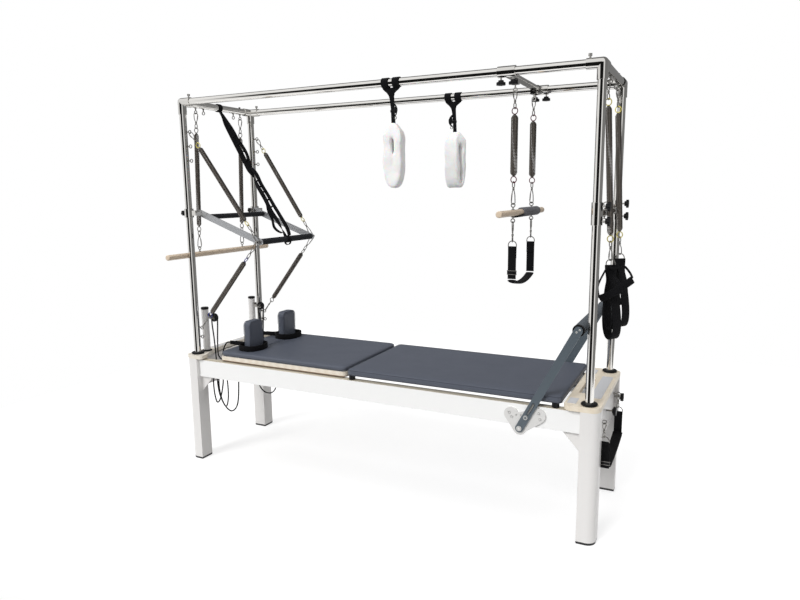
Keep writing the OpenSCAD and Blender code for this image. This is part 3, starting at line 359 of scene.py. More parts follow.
finish = {
    # one white powder coat in three copies: lighter on the side rails as painted light, darker on the legs, end
    # rails and riser posts as painted shade, darker still on the foot bar brackets as painted shade
    "shadedWhiteCoat": paint("shadedWhiteCoat", rgb(233, 231, 229), 0.34, tone=0.02, grain=500.0, edge=0.002,
                       heightBand={"start": 0.0115, "full": 0.0110, "colour": rgb(26, 26, 28)}, Coat_Weight=0.15),
    # the side rails' tops above 620.4 mm turn a darker tan
    "litWhiteCoat": paint("litWhiteCoat", rgb(250, 250, 249), 0.34, tone=0.02, grain=500.0, edge=0.002,
                      heightBand={"start": 0.6204, "full": 0.6207, "colour": rgb(208, 199, 180)}, Coat_Weight=0.15),
    "deeperShadedWhiteCoat": paint("deeperShadedWhiteCoat", rgb(222, 221, 219), 0.34, tone=0.02, grain=500.0, edge=0.002),
    "creamBoard": timber("creamBoard", rgb(236, 225, 206), rgb(226, 211, 188), (2, 10, 10), 0.45),
    "paleBoard": timber("paleBoard", rgb(235, 229, 217), rgb(224, 215, 199), (2, 10, 10), 0.45),
    "plyBoard": timber("plyBoard", rgb(243, 237, 226), rgb(228, 217, 200), (2, 12, 12), 0.5,
                       {"base": 0.627, "thick": 0.0035, "share": 0.35, "colour": rgb(196, 172, 140), "lip": 0.006,
                        "under": rgb(134, 112, 92)}),
    "beech": timber("beech", rgb(224, 206, 184), rgb(200, 177, 150), (14, 1.2, 14), 0.4),
    "chrome": metal("chrome", rgb(222, 220, 216), 0.05, spread=0.03, bump=0.0, edge=0.0006),
    "chromeTube": metal("chromeTube", rgb(234, 232, 228), 0.05, spread=0.02, edge=0),
    "wingMetal": paint("wingMetal", rgb(150, 150, 148), 0.3, edge=0.0006, Metallic=0.3),
    "zinc": paint("zinc", rgb(206, 206, 204), 0.3, edge=0.0006, Metallic=0.5),
    "steel": metal("steel", rgb(156, 154, 150), 0.16, spread=0.08),
    "coilSteel": metal("coilSteel", rgb(122, 116, 110), 0.34, spread=0.1, edge=0.0003),
    "aluminium": metal("aluminium", rgb(196, 198, 202), 0.36, stretch=(1, 30, 30), spread=0.12),
    "silverCoat": paint("silverCoat", rgb(206, 208, 211), 0.38, tone=0.05, grain=900.0, Metallic=0.75),
    "greyCoat": paint("greyCoat", rgb(98, 108, 116), 0.4, tone=0.06, grain=800.0, bump=0.00006, Metallic=0.25),
    "blackPlastic": paint("blackPlastic", rgb(17, 17, 19), 0.42, tone=0.1, grain=1100.0, bump=0.00005,
                          Specular_IOR_Level=0.25),
    "greyPad": paint("greyPad", rgb(205, 206, 209), 0.62, tone=0.05, grain=600.0, bump=0.0002),
    "slateVinyl": vinyl("slateVinyl", rgb(86, 91, 103)),
    "webbing": woven("webbing", rgb(14, 14, 16)),
    "blackBand": woven("blackBand", rgb(18, 18, 20), 0.004, 0.6),
    "darkFoam": foam("darkFoam", rgb(36, 37, 40)),
    "rollerFoam": foam("rollerFoam", rgb(82, 87, 92)),
    "greyFoam": foam("greyFoam", rgb(98, 98, 102)),
    "fleece": fleece("fleece"),
    "rope": braid("rope", rgb(16, 16, 18)),
    "yellowRing": paint("yellowRing", rgb(226, 212, 112), 0.35, edge=0.0004),
    "magentaRing": paint("magentaRing", rgb(92, 16, 40), 0.4, edge=0.0004, Specular_IOR_Level=0.3),
    "blueRing": paint("blueRing", rgb(58, 62, 140), 0.35, edge=0.0004),
    "thread": paint("thread", rgb(60, 64, 74), 0.7, edge=0.0002),
}
print("finishes made:", len(finish))


# the mesh that a bmesh holds
def meshFrom(bm, name):
    mesh = bpy.data.meshes.new(name)
    bm.to_mesh(mesh)
    bm.free()
    return mesh


# a finished piece: its finish, the body that it rides on and the nodes that it stands for
def keep(name, mesh, material, body=None, stands=(), sharp=35):
    mesh.materials.clear()
    mesh.materials.append(finish[material])
    mesh.shade_smooth()
    mesh.set_sharp_from_angle(angle=math.radians(sharp))
    piece = bpy.data.objects.new(name, mesh)
    scene.collection.objects.link(piece)
    if body:
        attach(piece, body)
    if stands:
        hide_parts(*stands)
    return piece


# tubes of round wire in one mesh; each run is its points, its radius or radii in mm, and whether it closes
def wires(name, runs, corners=8):
    data = bpy.data.curves.new(name, "CURVE")
    data.dimensions = "3D"
    data.bevel_depth = 0.001
    data.bevel_resolution = (corners - 4) // 2
    data.use_fill_caps = True
    for points, radius, closed in runs:
        spline = data.splines.new("POLY")
        spline.points.add(len(points) - 1)
        for k, (point, given) in enumerate(zip(spline.points, points)):
            point.co = (*given, 1)
            point.radius = radius[k] if isinstance(radius, (list, tuple)) else radius
        spline.use_cyclic_u = closed
    holder = bpy.data.objects.new(name, data)
    mesh = bpy.data.meshes.new_from_object(holder)
    mesh.name = name
    bpy.data.objects.remove(holder)
    bpy.data.curves.remove(data)
    return mesh


def closeNormals(mesh):
    bm = bmesh.new()
    bm.from_mesh(mesh)
    bmesh.ops.remove_doubles(bm, verts=bm.verts, dist=1e-6)
    bmesh.ops.recalc_face_normals(bm, faces=bm.faces)
    bm.to_mesh(mesh)
    bm.free()
    return mesh


# a piece of bent wire or piping
def keepWires(name, runs, corners, material, body=None, stands=(), sharp=60):
    return keep(name, closeNormals(wires(name, runs, corners)), material, body, stands, sharp)


def moved(matrix, runs):
    return [([matrix @ Vector(p) for p in points], radius, closed) for points, radius, closed in runs]


# millimetres set down at a point in metres
def placed(point, turn=Matrix.Identity(4)):
    return Matrix.Translation(point) @ turn @ Matrix.Scale(0.001, 4)


# millimetres with Z from a to b, turned as the part's own helper turns them
def along(a, b):
    d = b - a
    lean = math.acos(max(-1, min(1, d.z / d.length)))
    return placed(a, Matrix.Rotation(math.atan2(d.y, d.x), 4, "Z") @ Matrix.Rotation(lean, 4, "Y"))


# Z turned over, and counted down from high
def flipped(high):
    return Matrix.Translation((0, 0, high)) @ Matrix.Scale(-1, 4, (0, 0, 1))


def polar(radius, degrees):
    return radius * math.cos(math.radians(degrees)), radius * math.sin(math.radians(degrees))


def circle(radius, centre=(0, 0, 0), plane="XZ", count=28, start=0, sweep=360):
    closed = sweep == 360
    made = []
    for k in range(count if closed else count + 1):
        c, s = polar(radius, start + sweep * k / count)
        made.append(Vector(centre) + Vector({"XZ": (c, 0, s), "YZ": (0, c, s), "XY": (c, s, 0)}[plane]))
    return made


# a soft line through the points
def smoothLine(points, steps=4):
    points = [Vector(p) for p in points]
    made = []
    for k in range(len(points) - 1):
        a, b, c, d = points[max(k - 1, 0)], points[k], points[k + 1], points[min(k + 2, len(points) - 1)]
        for j in range(steps):
            t = j / steps
            square, cube = (2 * a - 5 * b + 4 * c - d) * t * t, (3 * b - a - 3 * c + d) * t ** 3
            made.append(0.5 * (2 * b + (c - a) * t + square + cube))
    return made + [points[-1]]


def lineLength(points):
    return sum((q - p).length for p, q in zip(points, points[1:]))


# flat webbing along points in metres; across is the way of its width, or one for each point
def ribbon(points, across, width, thick, closed=False):
    bm = bmesh.new()
    mapped = {}
    ways = across if isinstance(across, list) else [across] * len(points)
    half = width / 2

    def pair(point, way):
        return [point - way * half, point + way * half]

    ends = [bm.verts.new(p) for p in pair(points[0], ways[0])]
    run = 0.0
    for v, side in zip(ends, (-half, half)):
        mapped[v] = (side, run)
    edge = bm.edges.new(ends)
    first = edge
    for k in range(1, len(points)):
        run += (points[k] - points[k - 1]).length
        made = bmesh.ops.extrude_edge_only(bm, edges=[edge])["geom"]
        fresh = [g for g in made if isinstance(g, bmesh.types.BMVert)]
        edge = next(g for g in made if isinstance(g, bmesh.types.BMEdge) and all(v in fresh for v in g.verts))
        for v in fresh:
            near, far = ((v.co - spot).length for spot in pair(points[k - 1], ways[k - 1]))
            low = near < far
            v.co = pair(points[k], ways[k])[0 if low else 1]
            mapped[v] = (-half if low else half, run)
    if closed:
        bmesh.ops.bridge_loops(bm, edges=[edge, first])
    uv = bm.loops.layers.uv.new("cloth")
    for face in bm.faces:
        far = max(mapped[l.vert][1] for l in face.loops)
        for l in face.loops:
            side, where = mapped[l.vert]
            if closed and where == 0 and far > run * 0.6:
                where = run + (points[0] - points[-1]).length
            l[uv].uv = (side, where)
    bmesh.ops.recalc_face_normals(bm, faces=bm.faces)
    return finished(meshFrom(bm, "ribbon"), thick)


# thickness, rounded edges and smoothing, applied
def finished(mesh, thick=0.0, round_=0.35, level=0, remesh=0.0):
    holder = bpy.data.objects.new("holder", mesh)
    scene.collection.objects.link(holder)
    if thick:
        wall = holder.modifiers.new("wall", "SOLIDIFY")
        wall.thickness, wall.offset = thick, 0
        edge = holder.modifiers.new("edge", "BEVEL")
        edge.width, edge.segments = thick * round_, 2
        edge.limit_method, edge.angle_limit = "ANGLE", math.radians(50)
    if remesh:
        block = holder.modifiers.new("block", "REMESH")
        block.mode, block.voxel_size = "VOXEL", remesh
    if level:
        soft = holder.modifiers.new("soft", "SUBSURF")
        soft.levels = soft.render_levels = level
    made = bpy.data.meshes.new_from_object(holder.evaluated_get(bpy.context.evaluated_depsgraph_get()))
    bpy.data.objects.remove(holder)
    return made


def roundOff(bm, edges, offset, segments):
    bmesh.ops.bevel(bm, geom=edges, offset=offset, segments=segments, profile=0.5, affect="EDGES", material=-1)


def joined(meshes):
    bm = bmesh.new()
    for mesh in meshes:
        bm.from_mesh(mesh)
    return meshFrom(bm, "joined")


# a rounded block, sizes in mm
def block(size, centre, edge):
    bm = bmesh.new()
    bmesh.ops.create_cube(bm, size=1)
    bmesh.ops.scale(bm, vec=Vector(size) / 1000, verts=bm.verts)
    roundOff(bm, bm.edges[:], edge, 2)
    bmesh.ops.translate(bm, vec=mm(*centre), verts=bm.verts)
    return meshFrom(bm, "block")


# a lathe shape: profile of radius and height in mm, with its height from a to b
def turned(profile, a, b, steps=32):
    bm = bmesh.new()
    verts = [bm.verts.new((r, 0, z)) for r, z in profile]
    edges = [bm.edges.new(pair) for pair in zip(verts, verts[1:])]
    about = {"cent": (0, 0, 0), "axis": (0, 0, 1), "angle": math.tau}
    bmesh.ops.spin(bm, geom=verts + edges, steps=steps, use_merge=True, **about)
    bmesh.ops.remove_doubles(bm, verts=bm.verts, dist=1e-4)
    bmesh.ops.transform(bm, matrix=along(a, b), verts=bm.verts)
    bmesh.ops.recalc_face_normals(bm, faces=bm.faces)
    return meshFrom(bm, "turned")


# ropes: over each pulley, and down into loops of spare line beside the leg
ropeLine = {
    "diameter": 8, "side": 219.5, "pulley": (-1077, 862), "round": 23.7,
    "down": [(-1082, 600), (-1082, 610), (-1084, 660), (-1090, 740), (-1098, 810)],
    "back": [(-1056, 810), (-1062, 740), (-1066, 660), (-1063, 630), (-1050, 612), (-1030, 606), (-990, 606),
             (-940, 606)],
}


def ropeRun(s):
    x, z = ropeLine["pulley"]
    over = [polar(ropeLine["round"], a) for a in range(180, -1, -15)]
    line = ropeLine["down"] + [(x + u, z + w) for u, w in over] + ropeLine["back"]
    return [mm(u, s * ropeLine["side"], w) for u, w in line]


tailUp = [
    (-1030, 190, 586), (-1060, 182, 606), (-1066, 170, 650), (-1056, 156, 688), (-1042, 148, 697),
    (-1036, 148, 697), (-1030.3, 148, 697),
]
spareFront = [
    (-1082, 219.5, 600), (-1082, 219.5, 595), (-1082, 219.5, 588), (-1088, 236, 540), (-1090, 246, 470),
    (-1086, 246, 390), (-1069, 246, 339), (-1040, 246, 372), (-1014, 246, 470), (-1018, 244, 535),
    (-1044, 238, 566), (-1066, 234, 540), (-1073, 232, 495), (-1060, 232, 390), (-1016, 232, 315), (-992, 232, 380),
    (-995, 231, 495), (-1012, 229, 556), (-1040, 225, 572), (-1064, 222, 520), (-1071, 219, 415), (-1045, 217, 325),
    (-987, 217, 285), (-935, 217, 340), (-918, 217, 491), (-930, 212, 556), (-975, 200, 580),
]
spareRear = [
    (-1082, 219.5, 600), (-1082, 219.5, 595), (-1082, 219.5, 588), (-1100, 212, 540), (-1122, 204, 440),
    (-1112, 200, 340), (-1070, 198, 283), (-1010, 198, 275), (-965, 198, 318), (-948, 198, 420), (-956, 198, 520),
    (-985, 195, 566), (-1030, 200, 560), (-1056, 206, 500), (-1050, 212, 400), (-1010, 214, 330), (-985, 214, 400),
    (-988, 212, 500), (-1004, 204, 560),
]


def ropeMesh(name, points):
    radius = ropeLine["diameter"] / 2
    corners = 10
    mesh = wires(name, [(points, radius, False)], corners)
    spots = [0.0]
    for p, q in zip(points, points[1:]):
        spots.append(spots[-1] + (q - p).length)
    mesh.uv_layers.new(name="braid")
    for old in [layer.name for layer in mesh.uv_layers if layer.name != "braid"]:
        mesh.uv_layers.remove(mesh.uv_layers[old])
    uv = mesh.uv_layers["braid"]
    for face in mesh.polygons:
        turns = [v % corners for v in face.vertices]
        wraps = max(turns) == corners - 1 and min(turns) == 0 and len(turns) == 4
        for loop in face.loop_indices:
            v = mesh.loops[loop].vertex_index
            turn = corners if wraps and v % corners == 0 else v % corners
            uv.data[loop].uv = (spots[min(v // corners, len(spots) - 1)], turn / corners)
    return mesh


def addRopes():
    for (side, s), spare in zip(sides, (spareFront, spareRear)):
        run = ropeRun(s)
        piece = keep("rope" + side, ropeMesh("rope" + side, run), "rope", stands=["ropes"], sharp=80)
        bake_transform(piece)
        loops = [mm(x, s * y, z) for x, y, z in smoothLine(spare + tailUp, 5)]
        mesh = ropeMesh("spareRope" + side, loops)
        piece = keep("spareRope" + side, mesh, "rope", stands=["rope_loops"], sharp=80)
        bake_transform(piece)
        print("rope", side, round(lineLength(run), 3), "m, spare", round(lineLength(loops), 3), "m")


addRopes()


# springs with their snap hooks and rings
eyeRadius, eyeWire, hookWire, hookHalf, ringRadius, gap = 9, 5, 4, 7, 11, 0.3
hookStart = eyeRadius - eyeWire / 2 - hookWire / 2 - gap


def lead(reach):
    return hookStart + reach - 4.3 + 2 * ringRadius + 2.3


def stadium(low, high, half):
    lower = circle(half, (0, 0, low + half), "YZ", 10, 180, 180)
    return lower + circle(half, (0, 0, high - half), "YZ", 10, 0, 180)


# from the bend at low to the ring, in mm along Z: body with gate, swivel barrel, bow
def snapHook(low, reach):
    top = hookStart + reach
    neck = top - max(34, (top - low) * 0.34)
    wide = hookHalf + 3.5
    flank = [(wide * 0.86, low + (neck - low) * 0.6), (wide * 0.5, neck - 10), (2.2, neck - 2)]
    body = circle(wide, (0, 0, low + wide), "YZ", 12, 180, 180)
    body += [Vector((0, y, z)) for y, z in flank] + [Vector((0, -y, z)) for y, z in reversed(flank)]
    gate = [(wide, low + wide + 2), (wide, low + wide + 4), (wide * 0.74, neck - 20), (wide * 0.62, neck - 16)]
    gate = [Vector((0, -y, z)) for y, z in gate]
    barrel = [Vector((0, 0, neck + z)) for z in (-5, -3, 5, 6.5, 8, 11)]
    bow = stadium(neck + 9, top, 6.2)
    return [(body, 2.3, True), (gate, [1.8, 3.0, 3.0, 1.8], False),
            (barrel, [3.0, 5.4, 5.4, 3.6, 5.0, 2.8], False), (bow, 2.3, True)]


def coilRun(low, high, dia, wire=2.7, pitch=3.05, taper=15):
    rm = (dia - wire) / 2
    count = max(8, int((high - low) / pitch)) * 12
    made = [Vector((0, 0, low - 1.5))]
    for k in range(count + 1):
        z = low + (high - low) * k / count
        r = rm * min(1, math.sqrt(max(0.02, min(z - low, high - z) / taper)))
        a = math.tau * k / 12
        made.append(Vector((r * math.cos(a), r * math.sin(a), z)))
    return [(made + [Vector((0, 0, high + 1.5))], wire / 2, False)]


hookTurn = Matrix.Rotation(math.radians(38), 4, "Z")
ringPlan = {"wide": 13.2, "tall": 14.6, "wire": 2.3, "drop": 8.6}


def springRing(reach):
    p = ringPlan
    oval = [Vector((v.x * p["wide"], 0, v.z * p["tall"] + reach + p["drop"])) for v in circle(1, (0, 0, 0))]
    low = reach + p["drop"] + p["tall"]
    stem = [Vector((0, 0, z)) for z in (low - 0.6, low + 2, lead(reach) + 4)]
    return [(oval, p["wire"], True), (stem, [3.4, 2.4, 2.4], False)]


# from an eye at a to an eye at b, or to a pin of that radius
def hungSpring(name, a, b, dia, near, far, pin=0, ring="steel", body=None, blend=None, stands=()):
    length = (b - a).length * 1000
    place = along(a, b)
    other = flipped(length) @ Matrix.Rotation(math.radians(90 if pin else 0), 4, "Z")
    farTurn, farStart = (Matrix.Identity(4), -pin - hookWire / 2 - gap) if pin else (hookTurn, hookStart)
    hooks = moved(place @ hookTurn, snapHook(hookStart, near - 5))
    hooks += moved(place @ other @ farTurn, snapHook(farStart, far - 5))
    rings = moved(place, springRing(near)) + moved(place @ other, springRing(far))
    coil = moved(place, coilRun(lead(near), length - lead(far), dia))
    parts = (("Coil", coil, 6, "coilSteel", "spring_steel"), ("Hooks", hooks, 8, "steel", "chrome_tube"),
             ("Rings", rings, 8, ring, "chrome_tube"))
    for part, runs, corners, material, slot in parts:
        piece = keepWires(name + part, runs, corners, material, None if blend else body, stands)
        if blend:
            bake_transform(piece)


pushPlan = {
    "bar": (-680, 1329), "pivot": (-1108, 1489),
    "springs": {"eye": -1106, "upright": 297.5, "high": 1945, "low": 812, "studs": (266, 274)},
    "stud": [(0, 0), (8.4, 0), (9, 0.6), (9, 2.6), (8.4, 3), (4.5, 3.2), (4.5, 22.6), (7.4, 23), (8, 23.6),
             (8, 25.4), (7.2, 26), (0, 26)],
    "cap": [(0, 0), (11, 0), (12, 1), (12, 3), (10.5, 4.5), (0, 4.5)],
}
rollDownPlan = {"bar": (-1185.5, 1240), "half": 453, "radius": 16, "springs": 194, "eye": (-1150, 2066)}
trapezePlan = {"x": 745, "bar": 1494, "half": 386, "radius": 15, "springs": 165, "eyes": (2051, 1530)}


# the axle of the bar under one spring, and the eye that the spring hangs from
def rollDownLine(s):
    p = rollDownPlan
    y = s * p["springs"]
    return mm(p["bar"][0], y, p["bar"][1]), mm(p["eye"][0], y, p["eye"][1])


def addSprings():
    p = pushPlan["springs"]
    x, z = pushPlan["bar"]
    for side, s in sides:
        high, low = mm(p["eye"], s * p["upright"], p["high"]), mm(p["eye"], s * p["upright"], p["low"])
        stud, under = mm(x, s * p["studs"][0], z), mm(x, s * p["studs"][1], z)
        hungSpring("upperPushSpring" + side, high, stud, 28, 84, 116, 4.5, "yellowRing",
                   blend=("frame", "push_bar", high, stud), stands=["push_bar_springs"])
        hungSpring("lowerPushSpring" + side, low, under, 29, 96, 121, 4.5, "blueRing" if s < 0 else "steel",
                   blend=("frame", "push_bar", low, under), stands=["push_bar_springs"])
        axle, eye = rollDownLine(s)
        hungSpring("rollDownSpring" + side, eye, axle + (eye - axle).normalized() * 0.036, 28, 93, 105,
                   body="roll_down", stands=["roll_down_springs"])
        eye, low = (mm(trapezePlan["x"], s * trapezePlan["springs"], w) for w in trapezePlan["eyes"])
        hungSpring("trapezeSpring" + side, eye, low, 34, 84, 110, ring="magentaRing",
                   body="trapeze", stands=["trapeze_springs"])
    print("springs hung")


addSprings()

puffFrames = 20  # in which a cover fills


# closes the mesh with even faces, blows it up a little as stuffed cloth, and smooths it
def puffed(mesh, voxel, cap, level=1, floor=None):
    bm = bmesh.new()
    bm.from_mesh(mesh)
    bmesh.ops.remove_doubles(bm, verts=bm.verts, dist=1e-5)
    even = finished(meshFrom(bm, "clean"), remesh=voxel)
    holder = bpy.data.objects.new("puffing", even)
    scene.collection.objects.link(holder)
    cloth = holder.modifiers.new("puff", "CLOTH")
    cloth.settings.quality = 4
    cloth.settings.use_pressure = True
    cloth.settings.uniform_pressure_force = 4
    cloth.settings.effector_weights.gravity = 0
    cloth.point_cache.frame_start, cloth.point_cache.frame_end = 1, puffFrames
    for step in range(1, puffFrames + 1):
        scene.frame_set(step)
    blown = holder.evaluated_get(bpy.context.evaluated_depsgraph_get()).data
    spots = [v.co.copy() for v in blown.vertices]
    bpy.data.objects.remove(holder)
    scene.frame_set(1)
    for v, spot in zip(even.vertices, spots):
        step = spot - v.co
        v.co += step if step.length < cap else step * (cap / step.length)
    if floor is not None:
        for v in even.vertices:
            v.co.z = max(v.co.z, floor)
    return finished(even, level=level)


def roundedLoop(cx, cy, halfX, halfY, corner, z):
    made = []
    for sx, sy, start in ((1, 1, 0), (-1, 1, 90), (-1, -1, 180), (1, -1, 270)):
        for k in range(9):
            u, w = polar(corner, start + k * 11.25)
            made.append(mm(cx + sx * (halfX - corner) + u, cy + sy * (halfY - corner) + w, z))
    return made


# upholstered boards: how evenly they are meshed, how far the cover swells, and where it lies flat
pads = {
    "carriagePad": {"node": "carriage_pad", "body": "carriage", "voxel": 0.0065, "cap": 0.0025, "floor": 0.655},
    "headPad": {"node": "headrest", "body": "headrest", "voxel": 0.0055, "cap": 0.002, "floor": 0.6553},
    "matInsert": {"node": "mat_insert", "body": "mat", "voxel": 0.007, "cap": 0.003, "floor": 0.642},
}
shoulderPad = {
    "thick": 49, "wide": 132, "tall": 176, "shoulder": 30, "edge": 9, "place": (-829, 164, 683.3),
    "voxel": 0.0045, "cap": 0.001, "floor": 0.6833,
}
seamPlan = {
    # round the mat insert: centre, half sizes, corner and height, and the seam's radius
    "mat": [((467, 0, 566, 319, 24, 673.2), 0.9), ((467, 0, 567.5, 320.5, 26, 647), 0.8)],
    # half of the carriage pad's outline, round the place of the headrest
    "carriage": [(-800, 89), (-974, 89), (-974, 300), (-970, 303), (-120, 303), (-114, 300)], "height": 657.5,
}


def addPads():
    for name, given in pads.items():
        copy = nodes[given["node"]].data.copy()
        mesh = puffed(copy, given["voxel"], given["cap"], 1, given["floor"])
        piece = keep(name, mesh, "slateVinyl", given["body"], [given["node"]], 180)
    # seams: round the top edge of each pad, and along the tuck at the bottom
    runs = [(roundedLoop(*given), radius, True) for given, radius in seamPlan["mat"]]
    keepWires("matInsertSeams", runs, 6, "thread", "mat", sharp=180)
    outline = seamPlan["carriage"] + [(x, -y) for x, y in reversed(seamPlan["carriage"])]
    runs = [([mm(x, y, seamPlan["height"]) for x, y in outline], 0.8, True)]
    keepWires("carriagePadSeams", runs, 6, "thread", "carriage", sharp=180)
    p = shoulderPad
    for side, s in sides:
        bm = bmesh.new()
        bmesh.ops.create_cube(bm, size=1)
        bmesh.ops.scale(bm, vec=mm(p["thick"] - 4, p["wide"] - 4, p["tall"] - 3), verts=bm.verts)
        tops = [e for e in bm.edges if all(v.co.z > 0 for v in e.verts)]
        tops = [e for e in tops if abs(e.verts[0].co.x - e.verts[1].co.x) > 0.01]
        roundOff(bm, tops, p["shoulder"] / 1000, 8)
        rim = [e for e in bm.edges if e.calc_face_angle(0) > 0.9]
        roundOff(bm, rim, p["edge"] / 1000, 4)
        x, y, z = p["place"]
        bmesh.ops.translate(bm, vec=mm(x, s * y, z + p["tall"] / 2), verts=bm.verts)
        mesh = puffed(meshFrom(bm, "rest"), p["voxel"], p["cap"], 1, p["floor"])
        node = "shoulder_rest_" + side.lower()
        piece = keep("shoulderPad" + side, mesh, "slateVinyl", "carriage", [node], 180)
        half, tall, r = p["wide"] / 2 - 4.5, p["tall"], p["shoulder"] - 3
        runs = []
        for face in (-1, 1):
            arc = [polar(r, a) for a in range(10, 91, 10)]
            line = [(-half, 3), (-half, tall - 5 - r)] + [(-half + r - u, tall - 5 - r + w) for u, w in arc]
            line += [(-u, w) for u, w in reversed(line)]
            runs.append(([mm(x + face * (p["thick"] / 2 - 3.2), s * y + u, z + w) for u, w in line], 1.5, False))
        keepWires("shoulderPiping" + side, runs, 8, "slateVinyl", "carriage", sharp=180)
    print("pads puffed")


addPads()


# webbing: the ring has its round side up and a straight bar below, in the XZ plane in mm
dPlan = {"half": 19.75, "centre": -17.5, "bar": -25.2, "wire": 2.3, "lift": 2.8}


def dRing():
    p = dPlan
    line = circle(p["half"], (0, 0, p["centre"]), "XZ", 16, 0, 180)
    line += [Vector((x, 0, z)) for x, z in ((-p["half"], -23), (-18, p["bar"]), (18, p["bar"]), (p["half"], -23))]
    return (line, p["wire"], True)


# a snap hook hanging from an eye
def hungHook(eye, reach, turn=Matrix.Identity(4)):
    return moved(placed(eye, Matrix.Rotation(math.pi, 4, "X")) @ turn, snapHook(hookStart, reach))


# the turn of a strap over the bar of its ring
barFold = [polar(3.4, a) for a in range(180, -1, -30)]


slingSteps = 32
slingPlan = {
    "x": 745, "side": 165, "eye": 1458, "hook": 96, "strap": 178, "sag": 25, "width": 40, "pad": 38, "thick": 13,
    "up": [(-2.2, -52), (-2.2, -30), (-2.8, -8)],
    "down": [(2.8, -8), (1.6, -30), (1.6, -60), (1.6, -110), (1.6, -152)],
}


def addTrapezeSling():
    p = slingPlan
    low = p["eye"] - hookStart - p["hook"]
    barZ = low + dPlan["lift"] + dPlan["bar"] - 2.3
    metalRuns, straps = [], []
    for s in (-1, 1):
        metalRuns += hungHook(mm(p["x"], s * p["side"], p["eye"]), p["hook"])
        metalRuns += moved(placed(mm(p["x"], s * p["side"], low + dPlan["lift"])), [dRing()])
        # strap folded over the bar of the ring and sewn to itself
        points = [mm(p["x"], s * (p["side"] + y), barZ + z) for y, z in p["up"] + barFold + p["down"]]
        straps.append(ribbon(points, Vector((1, 0, 0)), p["width"] / 1000, 0.0026))
        if s < 0:
            for z in (-112, -130):
                metalRuns.append((roundedSlot(p["x"], s * (p["side"] + 1.6), barZ + z, 23, 3.4), 1.5, True))
    keepWires("slingHooks", metalRuns, 8, "steel", "sling", ["trapeze_sling"], 60)
    keep("slingStraps", joined(straps), "webbing", "sling", sharp=60)
    buckle = block((45, 8, 20), (p["x"], -p["side"] - 1.6, barZ - 121), 0.0015)
    keep("slingBuckle", buckle, "blackPlastic", "sling")
    # padded band between the straps
    radius = (p["side"] ** 2 + p["sag"] ** 2) / (2 * p["sag"])
    base = low - p["strap"]
    line = []
    for k in range(slingSteps + 1):
        y = -p["side"] + 2 * p["side"] * k / slingSteps
        line.append(mm(p["x"], y, base + radius - p["sag"] - math.sqrt((radius + 7) ** 2 - y * y)))
    pad = ribbon(line, Vector((1, 0, 0)), p["pad"] / 1000, p["thick"] / 1000)
    piece = keep("slingPad", finished(pad, level=1), "webbing", "sling", sharp=60)
    edge = [([q + Vector((side * p["pad"] / 2000, 0, 0)) for q in line], 2.2, False) for side in (-1, 1)]
    keepWires("slingBinding", edge, 6, "blackBand", "sling", sharp=180)
    print("trapeze sling sewn")


def roundedSlot(cx, cy, cz, halfX, halfY):
    made = []
    for sx, start in ((1, -90), (-1, 90)):
        for k in range(7):
            u, w = polar(halfY, start + k * 30)
            made.append(mm(cx + sx * (halfX - halfY) + u, cy + w, cz))
    return made


addTrapezeSling()

armPlan = {
    "eye": (1150, 149, 2066), "out": 31.5, "down": 569, "near": 86, "far": 92, "coil": 560, "dia": 29,
    "loop": 338, "inner": {"Front": 46, "Rear": 110}, "band": 46, "turn": 41.7, "turned": 130,
}
loopShape = [(2.4, 0), (3.5, 0.1), (13, 0.27), (26, 0.47), (35, 0.68), (34, 0.85), (22, 0.96), (0, 1.0)]
# points, the way across, width and thickness: padded band, its two ends and the loose curl
handlePlan = [
    ([(1159, -203, 1118), (1194, -207, 1134), (1229, -208, 1158), (1266, -206, 1186), (1297, -203, 1212)],
     (-0.55, 0, 0.83), 0.033, 0.011),
    ([(1158, -204, 1122), (1150, -202, 1165), (1156, -198, 1194), (1170, -187, 1228), (1185, -168, 1264)],
     Vector((0.8, -0.5, 0.2)).normalized(), 0.011, 0.003),
    ([(1296, -204, 1216), (1283, -202, 1241), (1257, -198, 1267), (1229, -193, 1258), (1205, -182, 1254),
      (1190, -168, 1264)],
     Vector((0.5, -0.3, 0.8)).normalized(), 0.011, 0.003),
    ([(1212, -182, 1218), (1235, -203, 1198), (1253, -213, 1175), (1252, -216, 1152), (1238, -213, 1150)],
     (0.75, 0, 0.66), 0.014, 0.003),
]


